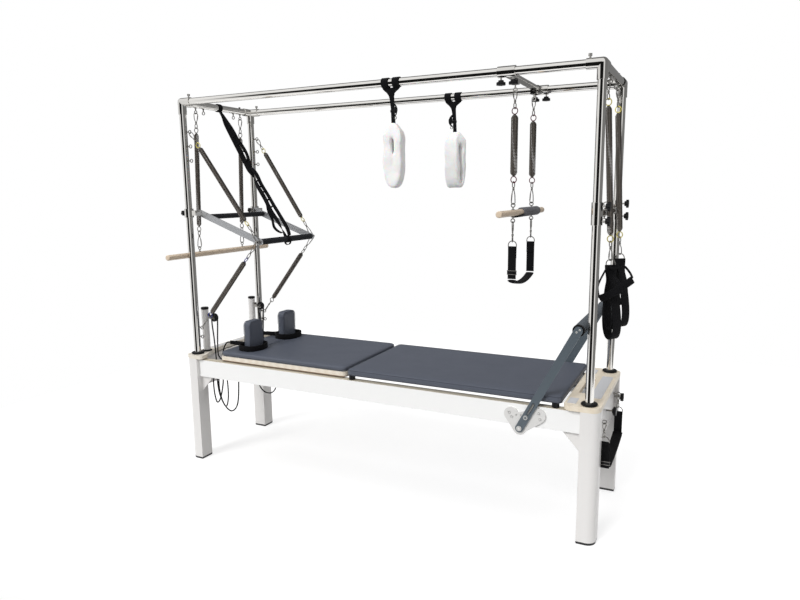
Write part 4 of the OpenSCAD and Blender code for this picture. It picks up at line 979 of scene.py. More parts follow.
def addArmSprings():
    p = armPlan
    lean = math.atan2(p["out"], p["down"])
    for side, s in sides:
        body = "arm_spring_" + side.lower()
        place = placed(mm(p["eye"][0], s * p["eye"][1], p["eye"][2]), Matrix.Rotation(math.pi - lean, 4, "Y"))
        first = lead(p["near"])
        total = first + p["coil"] + lead(p["far"])
        other = flipped(total)
        coil = moved(place, coilRun(first, first + p["coil"], p["dia"]))
        keepWires("armSpring%sCoil" % side, coil, 6, "coilSteel", body, [body])
        start = total - hookStart - dPlan["lift"]
        hooks = moved(place @ hookTurn, snapHook(hookStart, p["near"] - 5))
        hooks += moved(place @ other @ hookTurn, snapHook(hookStart, p["far"] - 5))
        hooks += moved(place @ flipped(start), [dRing()])
        keepWires("armSpring%sHooks" % side, hooks, 8, "steel", body)
        rings = moved(place, springRing(p["near"])) + moved(place @ other, springRing(p["far"]))
        keepWires("armSpring%sRings" % side, rings, 8, "yellowRing", body)
        # two loops of webbing under the ring, turning from the ring's bar as they fall
        top, straps = start + 21.6, []
        front = (place.to_3x3() @ Vector((1, 0, 0))).normalized()
        loops = ((1.0, p["loop"], 0.0034, 0), (0.8, p["loop"] - p["inner"][side], 0.006, 4))
        for scale, reach, thick, narrower in loops:
            half = [Vector((w * scale, 0, q * reach)) for w, q in loopShape]
            outline = smoothLine([Vector((-v.x, 0, v.z)) for v in half] + half[-2::-1], 4)
            line, ways = [], []
            for v in outline:
                turn = math.radians(p["turn"]) * min(1, max(0, v.z / p["turned"]))
                line.append(place @ Vector((-v.x * math.cos(turn), -v.x * math.sin(turn), top + v.z)))
                way = Vector((math.sin(turn + 0.0001) if v.z > 0 else 0, -math.cos(turn), 0))
                way = (place.to_3x3() @ way).normalized()
                way = -way if way.dot(front) < 0 else way
                ways.append(front.lerp(way, min(1, max(0, v.z / 70))).normalized())
            straps.append(ribbon(line, ways, (p["band"] - narrower) / 1000, thick))
        piece = keep("armLoops" + side, joined(straps), "webbing", body, sharp=60)
    # the front spring's second handle, turned outward: padded band and the thin strap from its ends to the ring
    parts = []
    for points, across, width, thick in handlePlan:
        parts.append(ribbon([q / 1000 for q in smoothLine(points, 4)], Vector(across), width, thick))
    parts[0] = finished(parts[0], level=1)
    keep("armHandleBand", joined(parts), "webbing", "arm_spring_front", sharp=60)
    print("arm springs and loops made")


addArmSprings()

endPlan = {"x": 1213, "hookX": 1209, "side": 226, "eye": 556, "hook": 70, "low": 343, "sag": 10, "width": 44}


def addEndSling():
    p = endPlan
    metalRuns, straps = [], []
    ringTop = p["eye"] - hookStart - p["hook"] + dPlan["lift"]
    barZ = ringTop + dPlan["bar"]
    for s in (-1, 1):
        metalRuns += hungHook(mm(p["hookX"], s * p["side"], p["eye"]), p["hook"], hookTurn)
        metalRuns += moved(placed(mm(p["x"], s * p["side"], ringTop)), [dRing()])
        line = [(-2.2, -40), (-2.8, -8)] + barFold + [(2.8, -8), (1.6, -30), (1.6, -70), (1.6, p["low"] - barZ - 6)]
        points = [mm(p["x"] + (5 if s < 0 and z < -30 else 0), s * (p["side"] + y), barZ + z) for y, z in line]
        straps.append(ribbon(points, Vector((1, 0, 0)), (p["width"] - 4) / 1000, 0.003))
    for z in (p["low"] + 12, p["low"] + 27):
        metalRuns.append((roundedSlot(p["x"] + 4, -p["side"] - 3.2, z, 24, 3.6), 1.6, True))
    keepWires("endSlingHooks", metalRuns, 8, "steel", "end_sling", ["end_sling"], 60)
    keep("endSlingStraps", joined(straps), "webbing", "end_sling", sharp=60)
    buckle = block((44, 8, 17), (p["x"] + 4, -p["side"] - 1.6, p["low"] + 19.5), 0.0015)
    keep("endSlingBuckle", buckle, "blackPlastic", "end_sling")
    line = []
    for k in range(slingSteps + 1):
        u = -1 + 2 * k / slingSteps
        z = p["low"] - p["sag"] * (1 - u * u) + 6 * max(0, abs(u) - 0.9) * 10
        line.append(mm(p["x"] + 3 - 3 * u, u * (p["side"] + 2), z))
    pad = finished(ribbon(line, Vector((1, 0, 0)), p["width"] / 1000, 0.012), level=1)
    piece = keep("endSlingPad", pad, "webbing", "end_sling", sharp=60)
    edge = [([q + Vector((side * p["width"] / 2000, 0, 0)) for q in line], 2.4, False) for side in (-1, 1)]
    keepWires("endSlingBinding", edge, 6, "blackBand", "end_sling", sharp=180)
    print("end sling sewn")


addEndSling()

restStraps = {
    "x": -827, "side": 175, "z": 684, "high": 33, "thick": 0.007, "halfX": 72, "halfY": 85, "lift": 1.2,
    "tailSide": 148,
    "tail": [(-888, 196, 701), (-904, 174, 700), (-926, 154, 699), (-972, 150, 698), (-1008, 148, 697),
             (-1029, 148, 697)],
}


def addRestStraps():
    p = restStraps
    for side, s in sides:
        ring, inner = [], []
        for k in range(56):
            a = math.tau * k / 56
            c, d = math.cos(a), math.sin(a)
            x, y = p["halfX"] * math.copysign(abs(c) ** 0.85, c), p["halfY"] * math.copysign(abs(d) ** 0.9, d)
            z = p["z"] + p["high"] / 2 + p["lift"] * (1 + math.sin(3 * a + 0.6))
            ring.append(mm(p["x"] + x, s * p["side"] + y, z))
            inner.append(mm(p["x"] + x * 0.9, s * p["side"] + y * 0.94, z - 1))
        band = ribbon(ring, Vector((0, 0, 1)), p["high"] / 1000, p["thick"], closed=True)
        second = ribbon(inner[6:50], Vector((0, 0, 1)), 0.025, 0.004)
        tail = smoothLine([mm(x, s * y, z) for x, y, z in p["tail"]], 4)
        over = [q + mm(0, -4.6, 2) for q in tail[:14]]
        parts = [band, second, ribbon(tail, Vector((0, 0, 1)), 0.024, 0.0034)]
        parts.append(ribbon(over, Vector((0, 0.2, 0.98)), 0.026, 0.0034))
        keep("restStrap" + side, joined(parts), "webbing", "carriage", ["shoulder_straps"], 60)
        buckles = [block((34, 14, 27), (-908, s * 158, 699), 0.003),
                   block((14, 14, 20), (-1018, s * p["tailSide"], 697), 0.004)]
        keep("restBuckle" + side, joined(buckles), "blackPlastic", "carriage")
    print("rest straps laid")


addRestStraps()

# the slack strap's bands: share of its length, offset in mm across it, and turn
chainPlan = {
    "from": (-1150, 0, 2110), "to": (-680, 0, 1329), "ends": (0.0225, 0.0195),
    "main": [(0, 0, 0), (0.05, 0, 0), (0.12, -4, 0.6), (0.25, -7, 0.7), (0.36, -8, 0.7), (0.45, -9, 0.7),
             (0.5, -6, 0.2), (0.54, -8, -0.5), (0.6, -10, -0.85), (0.7, -6, -0.9), (0.8, -8, -0.85),
             (0.88, 0, -0.8), (0.96, 2, -0.3), (1, 0, 0)],
    "second": [(0.02, 2, 0), (0.08, 6, 0.4), (0.16, 14, 0.7), (0.24, 16, 0.8), (0.31, 24, 0.85), (0.37, 24, 0.85),
               (0.44, 8, 0.6), (0.49, -6, 0.4)],
    "third": [(0.46, 4, 0.4), (0.5, 16, 0.5), (0.54, 19, 0.6), (0.6, 16, 0.8), (0.69, 22, 0.9), (0.77, 25, 0.9),
              (0.85, 30, 0.85), (0.93, 34, 0.75), (0.98, 32, 0.6), (1.012, 24, 0.3)],
    "bulge": [(0.74, -6, 0.7), (0.79, -22, 0.7), (0.85, -24, 0.6), (0.9, -38, 0.7), (0.94, -28, 0.5),
              (0.97, -8, 0.3)],
    "tabs": (0.14, 0.205, 0.27, 0.335, 0.4, 0.565, 0.61, 0.655, 0.72, 0.775),
}


def addSafetyStrap():
    p = chainPlan
    a, b = mm(*p["from"]), mm(*p["to"])
    d = (b - a).normalized()
    out = Vector((-d.z, 0, d.x))
    start, end = a + d * p["ends"][0], b - d * p["ends"][1]
    parts = []
    for key, width, aside in (("main", 30, 0), ("second", 20, 0.004), ("third", 22, 0.004), ("bulge", 16, -0.006)):
        marks = smoothLine([(t * 100, off, turn * 50) for t, off, turn in p[key]], 5)
        line = [start.lerp(end, v.x / 100) + out * (v.y / 1000) + Vector((0, aside, 0)) for v in marks]
        ways = [(Vector((0, 1, 0)) * (1 - abs(v.z) / 50) + out * (v.z / 50)).normalized() for v in marks]
        parts.append(ribbon(line, ways, width / 1000, 0.0034))
    # stitched places where the bands are one
    for k, t in enumerate(p["tabs"]):
        aside = out * (0.006 if k < 5 else 0.007)
        ends = [start.lerp(end, t - 0.006) + aside, start.lerp(end, t + 0.006) + aside]
        parts.append(ribbon(ends, out, 0.036, 0.007))
    # turns round the crossbar and the bar
    for centre, radius in zip((a, b), p["ends"]):
        turns = [math.tau * k / 28 for k in range(28)]
        ring = [centre + Vector((radius * math.cos(turn), 0, radius * math.sin(turn))) for turn in turns]
        parts.append(ribbon(ring, Vector((0, 1, 0)), 0.027, 0.0036, closed=True))
    drop = [b + mm(x, 5, z) for x, z in ((19, 4), (23, -10), (16, -27), (0, -34), (-14, -28), (-20, -12), (-18, 6))]
    parts.append(ribbon(smoothLine(drop, 4), Vector((0, 1, 0)), 0.016, 0.003))
    piece = keep("safetyChain", joined(parts), "webbing", stands=["safety_strap"], sharp=60)
    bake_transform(piece)
    print("safety strap sewn")


addSafetyStrap()

cuffPlan = {
    "front": {"x": 182, "s": -1, "turn": 12, "wide": 1.04, "deep": 88, "open": 0.8, "tail": 1},
    "rear": {"x": 264, "s": 1, "turn": 62, "wide": 0.92, "deep": 100, "open": 1.3, "tail": -1},
    "rail": 2110, "side": 297.5, "top": -188, "tall": 304, "count": 72, "shift": 5,
    "rings": (-31.5, 26.5), "ringRadius": 0.0216, "ringWidth": 0.0365,
    "outer": [(0, 0), (13, 0.012), (19, 0.045), (30, 0.085), (39, 0.15), (41.5, 0.22), (40, 0.36), (41, 0.5),
              (43, 0.63), (40, 0.76), (33, 0.88), (22, 0.96), (11, 0.992), (0, 1)],
    "inner": [(0, 0.2), (8, 0.23), (11, 0.29), (9, 0.38), (7.5, 0.52), (6.5, 0.66), (6, 0.8), (5.5, 0.9),
              (0, 0.94)],
    "strap": [(-50, -19), (-13, -19), (-11, -22.5), (-2.5, -24), (6, -22.5), (8, -19), (45, -19), (44, -26),
              (36, -34), (24, -42), (14, -51), (10.5, -62), (11, -80), (13, -120), (16, -188), (-4, -188),
              (-6, -120), (-9, -100), (-13, -72), (-18, -58), (-28, -46), (-40, -36), (-49, -27)],
    "loose": [(-6, -4, -96), (4, -8, -104), (15, -9, -124), (12, -9, -144), (2, -7, -158)],
}


# a flat sewn shape in the XZ plane
def plate(outline, y, thick, at):
    bm = bmesh.new()
    face = bm.faces.new([bm.verts.new(mm(at[0] + x, at[1] + y, at[2] + z)) for x, z in outline])
    face.normal_update()
    bmesh.ops.triangulate(bm, faces=[face])
    uv = bm.loops.layers.uv.new("cloth")
    for f in bm.faces:
        for l in f.loops:
            l[uv].uv = (l.vert.co.x, l.vert.co.z)
    return finished(meshFrom(bm, "plate"), thick / 1000, 0.4)


# thick fleece loop: two outlines with walls between, softened and made lumpy
def fleeceLoop(given, centre, seed):
    p = cuffPlan
    turn = Matrix.Rotation(math.radians(given["turn"]), 4, "Z")
    count, rings = p["count"], []
    for key, wide, shift in (("outer", given["wide"], 0), ("inner", given["open"], p["shift"])):
        half = [Vector((w * wide, 0, -t * p["tall"])) for w, t in p[key]]
        outline = smoothLine(half + [Vector((-v.x, 0, v.z)) for v in half[-2::-1]], 4)
        total, spots = lineLength(outline), []
        for k in range(count):
            want, run = total * k / count, 0.0
            for q, r in zip(outline, outline[1:]):
                step = (r - q).length
                if run + step >= want:
                    spots.append(q.lerp(r, (want - run) / step))
                    break
                run += step
        rings.append([Vector((v.x + shift * (-v.z / p["tall"] - 0.3) * 3, 0, v.z)) for v in spots])
    bm = bmesh.new()
    sheets = []
    for y in (-given["deep"] / 2, given["deep"] / 2):
        sheet = []
        for ring in rings:  # narrow at the top
            spots = [mm(v.x, y * (0.62 + 0.38 * min(1, -v.z / p["tall"] / 0.16)), v.z) for v in ring]
            sheet.append([bm.verts.new(centre + turn @ spot) for spot in spots])
        sheets.append(sheet)
    (nearOut, nearIn), (farOut, farIn) = sheets
    for first, other in ((nearOut, farOut), (farIn, nearIn), (farOut, farIn), (nearIn, nearOut)):
        for k in range(count):
            bm.faces.new((first[k], first[(k + 1) % count], other[(k + 1) % count], other[k]))
    bmesh.ops.recalc_face_normals(bm, faces=bm.faces)
    mesh = meshFrom(bm, "fleece")
    bm = bmesh.new()
    bm.from_mesh(finished(mesh, remesh=0.006))
    for _ in range(7):
        bmesh.ops.smooth_vert(bm, verts=bm.verts, factor=0.5, use_axis_x=True, use_axis_y=True, use_axis_z=True)
    bm.normal_update()
    for v in bm.verts:
        lump, tuft = noise.noise(v.co * 18 + Vector((seed, 0, 0))), noise.noise(v.co * 60)
        v.co += v.normal * (0.0022 + lump * 0.0036 + tuft * 0.0008)
    return finished(meshFrom(bm, "soft"), level=1)


def addCuffs():
    p = cuffPlan
    for seed, side in enumerate(("front", "rear")):
        given = p[side]
        node, t = "cuff_" + side, given["tail"]
        at = (given["x"], given["s"] * p["side"], p["rail"])
        parts = []
        for u in p["rings"]:
            turns = [math.tau * k / 32 for k in range(32)]
            ring = [Vector((0, p["ringRadius"] * math.cos(a), p["ringRadius"] * math.sin(a))) for a in turns]
            ring = [mm(at[0] + u, at[1], at[2]) + spot for spot in ring]
            parts.append(ribbon(ring, Vector((1, 0, 0)), p["ringWidth"], 0.0036, closed=True))
        parts.append(plate(p["strap"], -1.6, 3, at))
        parts.append(plate([(x, z) for x, z in p["strap"] if z < -50], 1.8, 2.4, at))
        edge = at[0] + 4 + t * 11
        tail = smoothLine([mm(edge + t * x, at[1] + y, at[2] + z) for x, y, z in p["loose"]], 4)
        parts.append(ribbon(tail, Vector((0.5 * t, -0.8, 0.2)).normalized(), 0.014, 0.0045))
        keep("cuffWebbing" + side.title(), joined(parts), "webbing", node, [node], 60)
        sliders = [block((24, 10, 13), (at[0] + 4, at[1] - 1, at[2] - 132), 0.002),
                   block((15, 11, 30), (edge + t * 6, at[1] - 6, at[2] - 128), 0.004)]
        keep("cuffSlider" + side.title(), joined(sliders), "blackPlastic", node)
        ring = [mm(edge + t * 5, at[1] - 7, at[2] - 164) + q / 1000 for q in circle(6.5, (0, 0, 0), "XZ", 20)]
        keepWires("cuffRing" + side.title(), [(ring, 1.6, True)], 6, "steel", node)
        centre = mm(at[0] + 8, at[1], at[2] + p["top"])
        mesh = fleeceLoop(given, centre, seed * 7.3)
        piece = keep("cuffFleece" + side.title(), mesh, "fleece", node, sharp=180)
    print("cuffs made")


addCuffs()


# bars and grips
def roundEnd(radius, end):
    return [(radius - end + u, end - w) for w, u in (polar(end, a) for a in range(0, 91, 18))]


def spunBar(name, a, b, radius, body, stands):
    length = (b - a).length * 1000
    profile = [(0, 0)] + roundEnd(radius, 5)
    profile += [(radius, length / 3), (radius, length * 2 / 3)] + [(r, length - z) for r, z in reversed(profile)]
    return keep(name, turned(profile, a, b, 40), "beech", body, stands, 50)


# foam tube with soft ends
def sleeve(a, b, inner, outer, end=5):
    length = (b - a).length * 1000
    profile = [(inner, 1)] + roundEnd(outer, end)
    profile += [(outer, length / 2)] + [(r, length - z) for r, z in reversed(profile)] + [(inner, 1)]
    return turned(profile, a, b, 48)


# screw eye in metres: shank along way, ring beyond it
def eyeRuns(foot, way, shank):
    stem, collar = ([Vector((0, 0, z)) for z in ends] for ends in ((0, shank + 1), (0.2, 3.8)))
    ring = circle(eyeRadius, (0, 0, shank + eyeRadius))
    return moved(along(foot, foot + way), [(stem, 3.0, False), (ring, eyeWire / 2, True), (collar, 6.4, False)])


def addRollDownBar():
    p = rollDownPlan
    (x, z), half = p["bar"], p["half"]
    spunBar("rollDownDowel", mm(x, half, z), mm(x, -half, z), p["radius"], "roll_down", ["roll_down_bar"])
    runs = []
    for s in (-1, 1):
        axle, eye = rollDownLine(s)
        way = (eye - axle).normalized()
        runs += eyeRuns(axle + way * 0.015, way, 12)
    keepWires("rollDownEyes", runs, 12, "steel", "roll_down")


# a whole foam grip at the rear and a slit one at the front
gripPlan = {
    "rear": (270, -29), "front": (-35, -253), "inner": 15.2, "outer": 23, "slit": 1501, "slope": (0.35, -0.2, 1),
}


def addTrapezeBar():
    p, g = trapezePlan, gripPlan
    x, z = p["x"], p["bar"]
    spunBar("trapezeDowel", mm(x, p["half"], z), mm(x, -p["half"], z), p["radius"], "trapeze", ["trapeze_bar"])
    rear, front = (sleeve(*[mm(x, y, z) for y in g[key]], g["inner"], g["outer"]) for key in ("rear", "front"))
    keep("trapezeGripRear", rear, "greyFoam", "trapeze", sharp=50)
    bm = bmesh.new()
    bm.from_mesh(front)
    every = bm.verts[:] + bm.edges[:] + bm.faces[:]
    bmesh.ops.bisect_plane(bm, geom=every, plane_co=mm(x, 0, g["slit"]), plane_no=g["slope"], clear_outer=True)
    bmesh.ops.holes_fill(bm, edges=[e for e in bm.edges if e.is_boundary])
    bmesh.ops.recalc_face_normals(bm, faces=bm.faces)
    keep("trapezeGripFront", meshFrom(bm, "grip"), "darkFoam", "trapeze", sharp=40)
    runs = []
    for s in (-1, 1):
        y = s * p["springs"]
        for way in (1, -1):
            runs += eyeRuns(mm(x, y, z + way * 14), Vector((0, 0, way)), 13)
            runs.append(([mm(x, y, z + way * 14.5), mm(x, y, z + way * 17)], 9, False))
    keepWires("trapezeEyes", runs, 12, "steel", "trapeze", sharp=50)


def addPushBar():
    p = pushPlan
    (x, z), (px, pz) = p["bar"], p["pivot"]
    foam = sleeve(mm(x, 247.5, z), mm(x, -247.5, z), 12, 17.2, 3)
    keep("pushBarFoam", foam, "darkFoam", "push_bar", ["push_bar_grip"], 50)
    studs = []
    for s in (-1, 1):
        studs.append(turned(p["stud"], mm(x, s * 256, z), mm(x, s * 282, z), 28))
        studs.append(turned(p["cap"], mm(px, s * 256, pz), mm(px, s * 262, pz), 28))
    keep("pushBarStuds", joined(studs), "steel", "push_bar", sharp=40)


footPlan = {
    "pivot": (845, 508), "turn": 62.4, "roller": 546, "lock": 64, "face": 342, "slot": 113,
    "rim": [(14, 0), (26, 0), (27.2, 1.2), (27.2, 10.8), (26, 12), (14, 12), (14, 0)],
    "screw": [(0, 0), (4.6, 0), (4.8, 0.4), (4.4, 1.6), (2.4, 2.3), (2.2, 1.0), (0, 1.0)],
    "lockHead": [(0, -0.2), (10.6, -0.2), (10.6, 4.6), (9.8, 6.3), (5.2, 6.3), (5.0, 3.2), (0, 3.2)],
    # bracket screws: place from the pivot, foot, radius and height
    "heads": [(88, 84, 333.5, 6.3, 4.3), (94, 56, 333.5, 6.3, 4.3), (-50, 68, 329.5, 6.3, 3.8),
              (-38, 48, 329.5, 6.3, 3.8), (0, 0, 342.3, 12.3, 5.6)],
    # thumb screws: place from the pivot and turn
    "wings": [(-46, 58, 40), (-41, 37, 130), (-30, 17, 100)], "wingFoot": 329.4,
    "wing": [(0, 0), (6, 0), (6, 2.4), (4.8, 3.6), (0, 3.6)],
}


# foam roller between black end rims, with the screws of its arms and brackets
def addFootBar():
    p = footPlan
    cx, cz = p["pivot"]
    x, z = (c + u for c, u in zip(p["pivot"], polar(p["roller"], p["turn"])))
    lockX, lockZ = (c + u for c, u in zip(p["pivot"], polar(p["lock"], p["turn"])))
    foam = sleeve(mm(x, 320, z), mm(x, -320, z), 14, 26.6)
    keep("footBarFoam", foam, "rollerFoam", "foot_bar", ["foot_bar_roller"], 50)
    rims, screws, heads, lines, bars, wings = [], [], [], [], [], []
    for s in (-1, 1):
        rims.append(turned(p["rim"], mm(x, s * 321.5, z), mm(x, s * 333.5, z), 48))
        for turn in (40, 220):
            u, w = polar(8.5, turn)
            screws.append(turned(p["screw"], mm(x + u, s * p["face"], z + w), mm(x + u, s * 345, z + w), 20))
        screws.append(turned(p["lockHead"], mm(lockX, s * p["face"], lockZ), mm(lockX, s * 349, lockZ), 32))
        for u, w, foot, r, h in p["heads"]:
            profile = [(0, 0), (r, 0), (r, h * 0.7), (r * 0.86, h), (r * 0.5, h), (r * 0.46, h * 0.45),
                       (0, h * 0.45)]
            heads.append(turned(profile, mm(cx + u, s * foot, cz + w), mm(cx + u, s * (foot + h), cz + w), 28))
        # slot of the arm, with a bar in it
        face = placed(mm(cx, s * (p["face"] + 0.2), cz), Matrix.Rotation(math.radians(90 - p["turn"]), 4, "Y"))
        outline = []
        for a in range(5, 360, 15):
            u, w = polar(5.5, a)
            outline.append(Vector((u, 0, (28 if w >= 0 else -28) + w + p["slot"])))
        lines += moved(face, [(outline, 0.9, True)])
        bars += moved(face, [([Vector((0, 0, p["slot"] - 29)), Vector((0, 0, p["slot"] + 29))], [2.2, 2.2], False)])
        for u, w, turn in p["wings"]:
            mid = mm(cx + u, s * p["wingFoot"], cz + w)
            du, dw = polar(7, turn)
            for e in (-1, 1):
                lobe = mid + mm(du * e, 0, dw * e)
                wings.append(turned(p["wing"], lobe, lobe + mm(0, s * 3.6, 0), 20))
    keep("footBarRims", joined(rims), "blackPlastic", "foot_bar", sharp=40)
    keep("footBarScrews", joined(screws), "zinc", "foot_bar", sharp=40)
    keep("bracketScrews", joined(heads), "zinc", "frame", sharp=40)
    keepWires("footSlotLines", lines, 6, "blackPlastic", "foot_bar")
    keepWires("footSlotBars", bars, 6, "steel", "foot_bar")
    keep("thumbScrews", joined(wings), "wingMetal", "frame", sharp=40)


addRollDownBar()
addTrapezeBar()
addPushBar()
addFootBar()
print("bars and grips made")

knobPlan = {
    "lobes": 5, "depth": 0.11, "proud": 0.5,
    "end": [(-13, 541), (254, 532)], "clamp": (-1175, 297.5, 1489), "trapeze": (719, 775), "slide": (1466, 1528),
}


# a lobed plastic head over the plain one, from foot along way, in metres
def knobHead(foot, way, dia, high):
    bm = bmesh.new()
    bmesh.ops.create_circle(bm, cap_ends=True, radius=dia / 2000 + knobPlan["proud"] / 1000, segments=60)
    for v in bm.verts:
        a = math.atan2(v.co.y, v.co.x)
        v.co *= 1 - knobPlan["depth"] * (0.5 - 0.5 * math.cos(knobPlan["lobes"] * a)) ** 2
    grown = bmesh.ops.extrude_face_region(bm, geom=bm.faces[:])["geom"]
    top = [g for g in grown if isinstance(g, bmesh.types.BMVert)]
    bmesh.ops.translate(bm, vec=(0, 0, high / 1000 + 0.0008), verts=top)
    bm.normal_update()
    rim = [e for e in bm.edges if e.calc_face_angle(0) > 1.2]
    roundOff(bm, rim, 0.0016, 3)
    bmesh.ops.recalc_face_normals(bm, faces=bm.faces)
    bmesh.ops.transform(bm, matrix=along(foot, foot + way) @ Matrix.Scale(1000, 4), verts=bm.verts)
    return meshFrom(bm, "knob")


def knobWhole(foot, way, dia, stem, high=8):
    profile = [(0, 0), (dia * 0.28, 0), (dia * 0.3, 1), (dia * 0.32, 8.4), (0, 8.4)]
    neck = turned(profile, foot + way * (stem - 0.3) / 1000, foot + way * (stem + 8) / 1000, 32)
    return [neck, knobHead(foot + way * (stem + 7.8) / 1000, way, dia, high)]


def addKnobs():
    p = knobPlan
    end, clamp, trapeze, slide = [], [], [], []
    for y, z in p["end"]:
        foot = mm(1212.6, y, z)
        end.append(turned([(0, 0), (10.6, 0), (11.4, 1), (11.4, 7), (0, 7)], foot, foot + mm(8, 0, 0), 32))
        end.append(knobHead(mm(1216.8, y, z), Vector((1, 0, 0)), 42, 14))
    x, y, z = p["clamp"]
    for s in (-1, 1):
        clamp += knobWhole(mm(x, s * y, z), Vector((-1, 0, 0)), 30, 8)
        for u in p["trapeze"]:
            trapeze += knobWhole(mm(u, s * y, 2087), Vector((0, 0, -1)), 40, 12, 12)
        for w in p["slide"]:
            slide += knobWhole(mm(1173.5, s * y, w), Vector((1, 0, 0)), 41, 12, 11)
    for name, heads, body in (("endKnobs", end, "frame"), ("pushClampKnobs", clamp, "frame"),
                              ("trapezeKnobs", trapeze, "trapeze_slider"), ("slideKnobs", slide, "cross_slider")):
        keep(name, joined(heads), "blackPlastic", body)
    print("knobs made")



addKnobs()

riserPlan = {
    "x": -1150, "low": 650, "high": 921,
    "post": [(20, 0), (21, 1), (21, 251), (20, 252), (0, 252)],
    "collar": [(0, 0.1), (29, 0.1), (30, 1.2), (30, 4.6), (28.6, 6), (23, 6.4), (22.6, 9), (21.2, 9.4), (0, 9.4)],
    "cap": [(0, 0), (22, 0), (23, 1), (23, 9), (21, 11.4), (16, 12), (0, 12)],
    "axleEnd": [(0, 0), (7, 0), (7, 3), (6, 4.4), (0, 4.4)],
}


def addRisers():
    p = riserPlan
    x, (px, pz) = p["x"], ropeLine["pulley"]
    posts, caps, brackets = [], [], []
    for s in (-1, 1):
        y = s * ropeLine["side"]
        posts.append(turned(p["post"], mm(x, y, p["low"] + 6), mm(x, y, p["high"] - 12), 40))
        caps.append(turned(p["collar"], mm(x, y, p["low"]), mm(x, y, p["low"] + 9), 40))
        caps.append(turned(p["cap"], mm(x, y, p["high"] - 12), mm(x, y, p["high"]), 40))
        brackets.append(block((13, 8, 14), (x + 26.8, y, pz + 13), 0.0008))
        brackets.append(block((6, 23, 14), (x + 29, y, pz + 13), 0.001))
        for e in (-1, 1):
            brackets.append(block((58, 3, 20), (x + 55, y + e * 10, pz), 0.0011))
            brackets.append(turned(p["axleEnd"], mm(px, y + e * 11.4, pz), mm(px, y + e * 15.8, pz), 24))
        brackets.append(turned([(0, 0), (4, 0), (4, 20), (0, 20)], mm(px, y - 10, pz), mm(px, y + 10, pz), 20))
    keep("riserPosts", joined(posts), "shadedWhiteCoat", "frame", ["rope_risers"], 40)
    keep("riserCaps", joined(caps), "blackPlastic", "frame", sharp=40)
    keep("riserBrackets", joined(brackets), "steel", "frame", sharp=40)
    print("risers made")


addRisers()


carriageCoil = {"lanes": (-124, -62, 0, 62, 124), "high": 616, "ends": (-172, -602), "brackets": (-162, -610)}


def addCarriageSprings():
    p = carriageCoil
    coils, rods, plates = [], [], []
    for y in p["lanes"]:
        a, b = (mm(x, y, p["high"]) for x in p["ends"])
        coils += moved(along(a, b), coilRun(6, 424, 20, 2.4, 3.4, 8))
        rods += [([a + mm(22, 0, 0), a - mm(8, 0, 0)], 3, False), ([b - mm(4, 0, 0), b + mm(8, 0, 0)], 3, False)]
        plates += [block((10, 16, 17), (x + 5, y, p["high"] + 2.5), 0.0012) for x in p["brackets"]]
    keepWires("carriageCoils", coils, 6, "coilSteel", "carriage", ["carriage_springs"])
    plates.append(closeNormals(wires("rods", rods)))
    keep("springBrackets", joined(plates), "steel", "carriage", sharp=40)
    print("carriage springs made")



addCarriageSprings()

# finishes of the frame's own nodes
dress = {
    "shadedWhiteCoat": ["leg_front_left", "leg_rear_left", "leg_front_right", "leg_rear_right", "end_rails"],
    "litWhiteCoat": ["side_rail_front", "side_rail_rear"],
    "deeperShadedWhiteCoat": ["foot_bar_brackets"],
    "creamBoard": ["platform_right"],
    "paleBoard": ["platform_left"],
    "greyPad": ["grip_pads"],
    "plyBoard": ["carriage_deck"],
    "chromeTube": ["upright_front_left", "upright_rear_left", "upright_front_right", "upright_rear_right",
                   "top_rail_front", "top_rail_rear", "crossbars"],
    "chrome": ["corner_fittings", "trapeze_crossbar", "cross_slide", "push_bar_clamps"],
    "steel": ["frame_eyebolts"],
    "aluminium": ["carriage_tracks", "spring_bar"],
    "silverCoat": ["push_bar_arms"],
    "greyCoat": ["foot_bar_arms"],
    "darkFoam": ["push_bar_tie"],
    "blackPlastic": ["leg_feet", "flange_collars", "mat_insert_feet", "wheel_set_left", "wheel_set_right",
                     "pulley_front", "pulley_rear"],
}
for material, names in dress.items():
    for name in names:
        mesh = nodes[name].data
        if not mesh.materials:
            mesh.materials.append(finish[material])
        for socket in nodes[name].material_slots:
            socket.material = finish[material]
print("frame dressed")


# floor, light and background; a sun has its heading, strength and spread
studio = {
    "floor": (-3.2, 3.6, -1.7, 3.4), "floorGlow": 0.62, "world": 0.46, "lift": 0.8, "skyline": (0.26, 0.34),
    "suns": {
        "keySun": ((-0.25, -0.85, 0.7), 1.95, 25), "topSun": ((0.1, 0.1, 1), 0.9, 60),
        "rimSun": ((1, -0.3, 0.5), 0.12, 40),
    },
    # what polished metal sees round about: heading in degrees, brightness, and how tall the wall stands
    "walls": [(-180, 0.95, 0), (-133, 0.95, 0), (-129, 0.01, 0), (-69, 0.01, 0), (-64, 0.95, 0), (-43, 0.95, 0),
              (-37, 0.2, 1), (62, 0.24, 1), (74, 0.2, 1), (164, 0.22, 1), (172, 0.95, 0), (180, 0.95, 0)],
}


def shownRays(tree):
    seen = tree.nodes.new("ShaderNodeLightPath").outputs
    mirrored = math2(tree, "ADD", seen["Is Glossy Ray"], seen["Is Transmission Ray"])
    return seen, math2(tree, "MINIMUM", math2(tree, "ADD", seen["Is Camera Ray"], mirrored), 1.0)


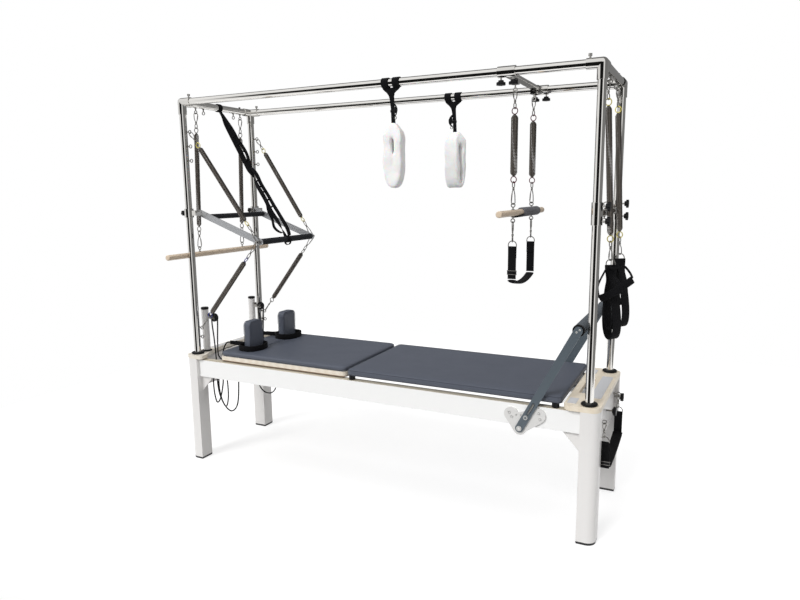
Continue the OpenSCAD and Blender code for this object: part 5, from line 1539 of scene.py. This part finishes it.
def addFloor():
    bm = bmesh.new()
    left, right, front, back = studio["floor"]
    bmesh.ops.create_grid(bm, x_segments=8, y_segments=8, size=1)
    for v in bm.verts:
        x, y = left + (right - left) * (v.co.x + 1) / 2, front + (back - front) * (v.co.y + 1) / 2
        v.co = Vector((x, y, -0.0005))
    mesh = meshFrom(bm, "floor")
    made = bpy.data.materials.new("floorPaper")
    tree = emptyTree(made)
    paper = addNode(tree, "ShaderNodeBsdfDiffuse", {"Color": (0.5, 0.5, 0.5, 1)})
    shown = math2(tree, "MULTIPLY", shownRays(tree)[1], studio["floorGlow"])
    glow = addNode(tree, "ShaderNodeEmission", {"Color": (1, 1, 1, 1), "Strength": shown})
    both = addNode(tree, "ShaderNodeAddShader", {0: paper.outputs[0], 1: glow.outputs[0]})
    tree.links.new(both.outputs[0], tree.nodes.new("ShaderNodeOutputMaterial").inputs[0])
    mesh.materials.append(made)
    floor = bpy.data.objects.new("floor", mesh)
    scene.collection.objects.link(floor)


def addStudio():
    for name, (way, energy, spread) in studio["suns"].items():
        data = bpy.data.lights.new(name, "SUN")
        data.energy, data.angle = energy, math.radians(spread)
        made = bpy.data.objects.new(name, data)
        scene.collection.objects.link(made)
        made.visible_glossy = False
        turn = Vector(way).to_track_quat("Z", "Y").to_matrix().to_4x4()
        made.matrix_world = Matrix.Translation(Vector(way) * 4) @ turn
    world = bpy.data.worlds.new("studioWorld")
    scene.world = world
    tree = emptyTree(world)
    seen, shown = shownRays(tree)
    way = splitXyz(tree, tree.nodes.new("ShaderNodeTexCoord").outputs["Generated"])
    heading = math2(tree, "ADD", math2(tree, "DIVIDE", math2(tree, "ARCTAN2", way[1], way[0]), math.tau), 0.5)
    ramp = tree.nodes.new("ShaderNodeValToRGB")
    tree.links.new(heading, ramp.inputs[0])
    for degrees, value, tall in studio["walls"]:
        spot = degrees / 360 + 0.5
        marks = ramp.color_ramp.elements
        mark = marks.new(spot) if 0 < spot < 1 else marks[0 if spot <= 0 else -1]
        mark.color = (value, value, value, tall)
    height = math2(tree, "SUBTRACT", way[2], math2(tree, "MULTIPLY", ramp.outputs[1], studio["lift"]))
    gloss = mixColour(tree, rampTo(tree, height, *studio["skyline"]), ramp.outputs[0], (1, 1, 1, 1))
    bright = mixColour(tree, seen["Is Glossy Ray"], (1, 1, 1, 1), gloss)
    plain = tuple([studio["world"]] * 3) + (1,)
    back = addNode(tree, "ShaderNodeBackground", {"Color": mixColour(tree, shown, plain, bright), "Strength": 1.0})
    tree.links.new(back.outputs[0], tree.nodes.new("ShaderNodeOutputWorld").inputs[0])
    scene.view_settings.view_transform = "Standard"
    print("studio lit")


addFloor()
addStudio()

bpy.context.view_layer.update()
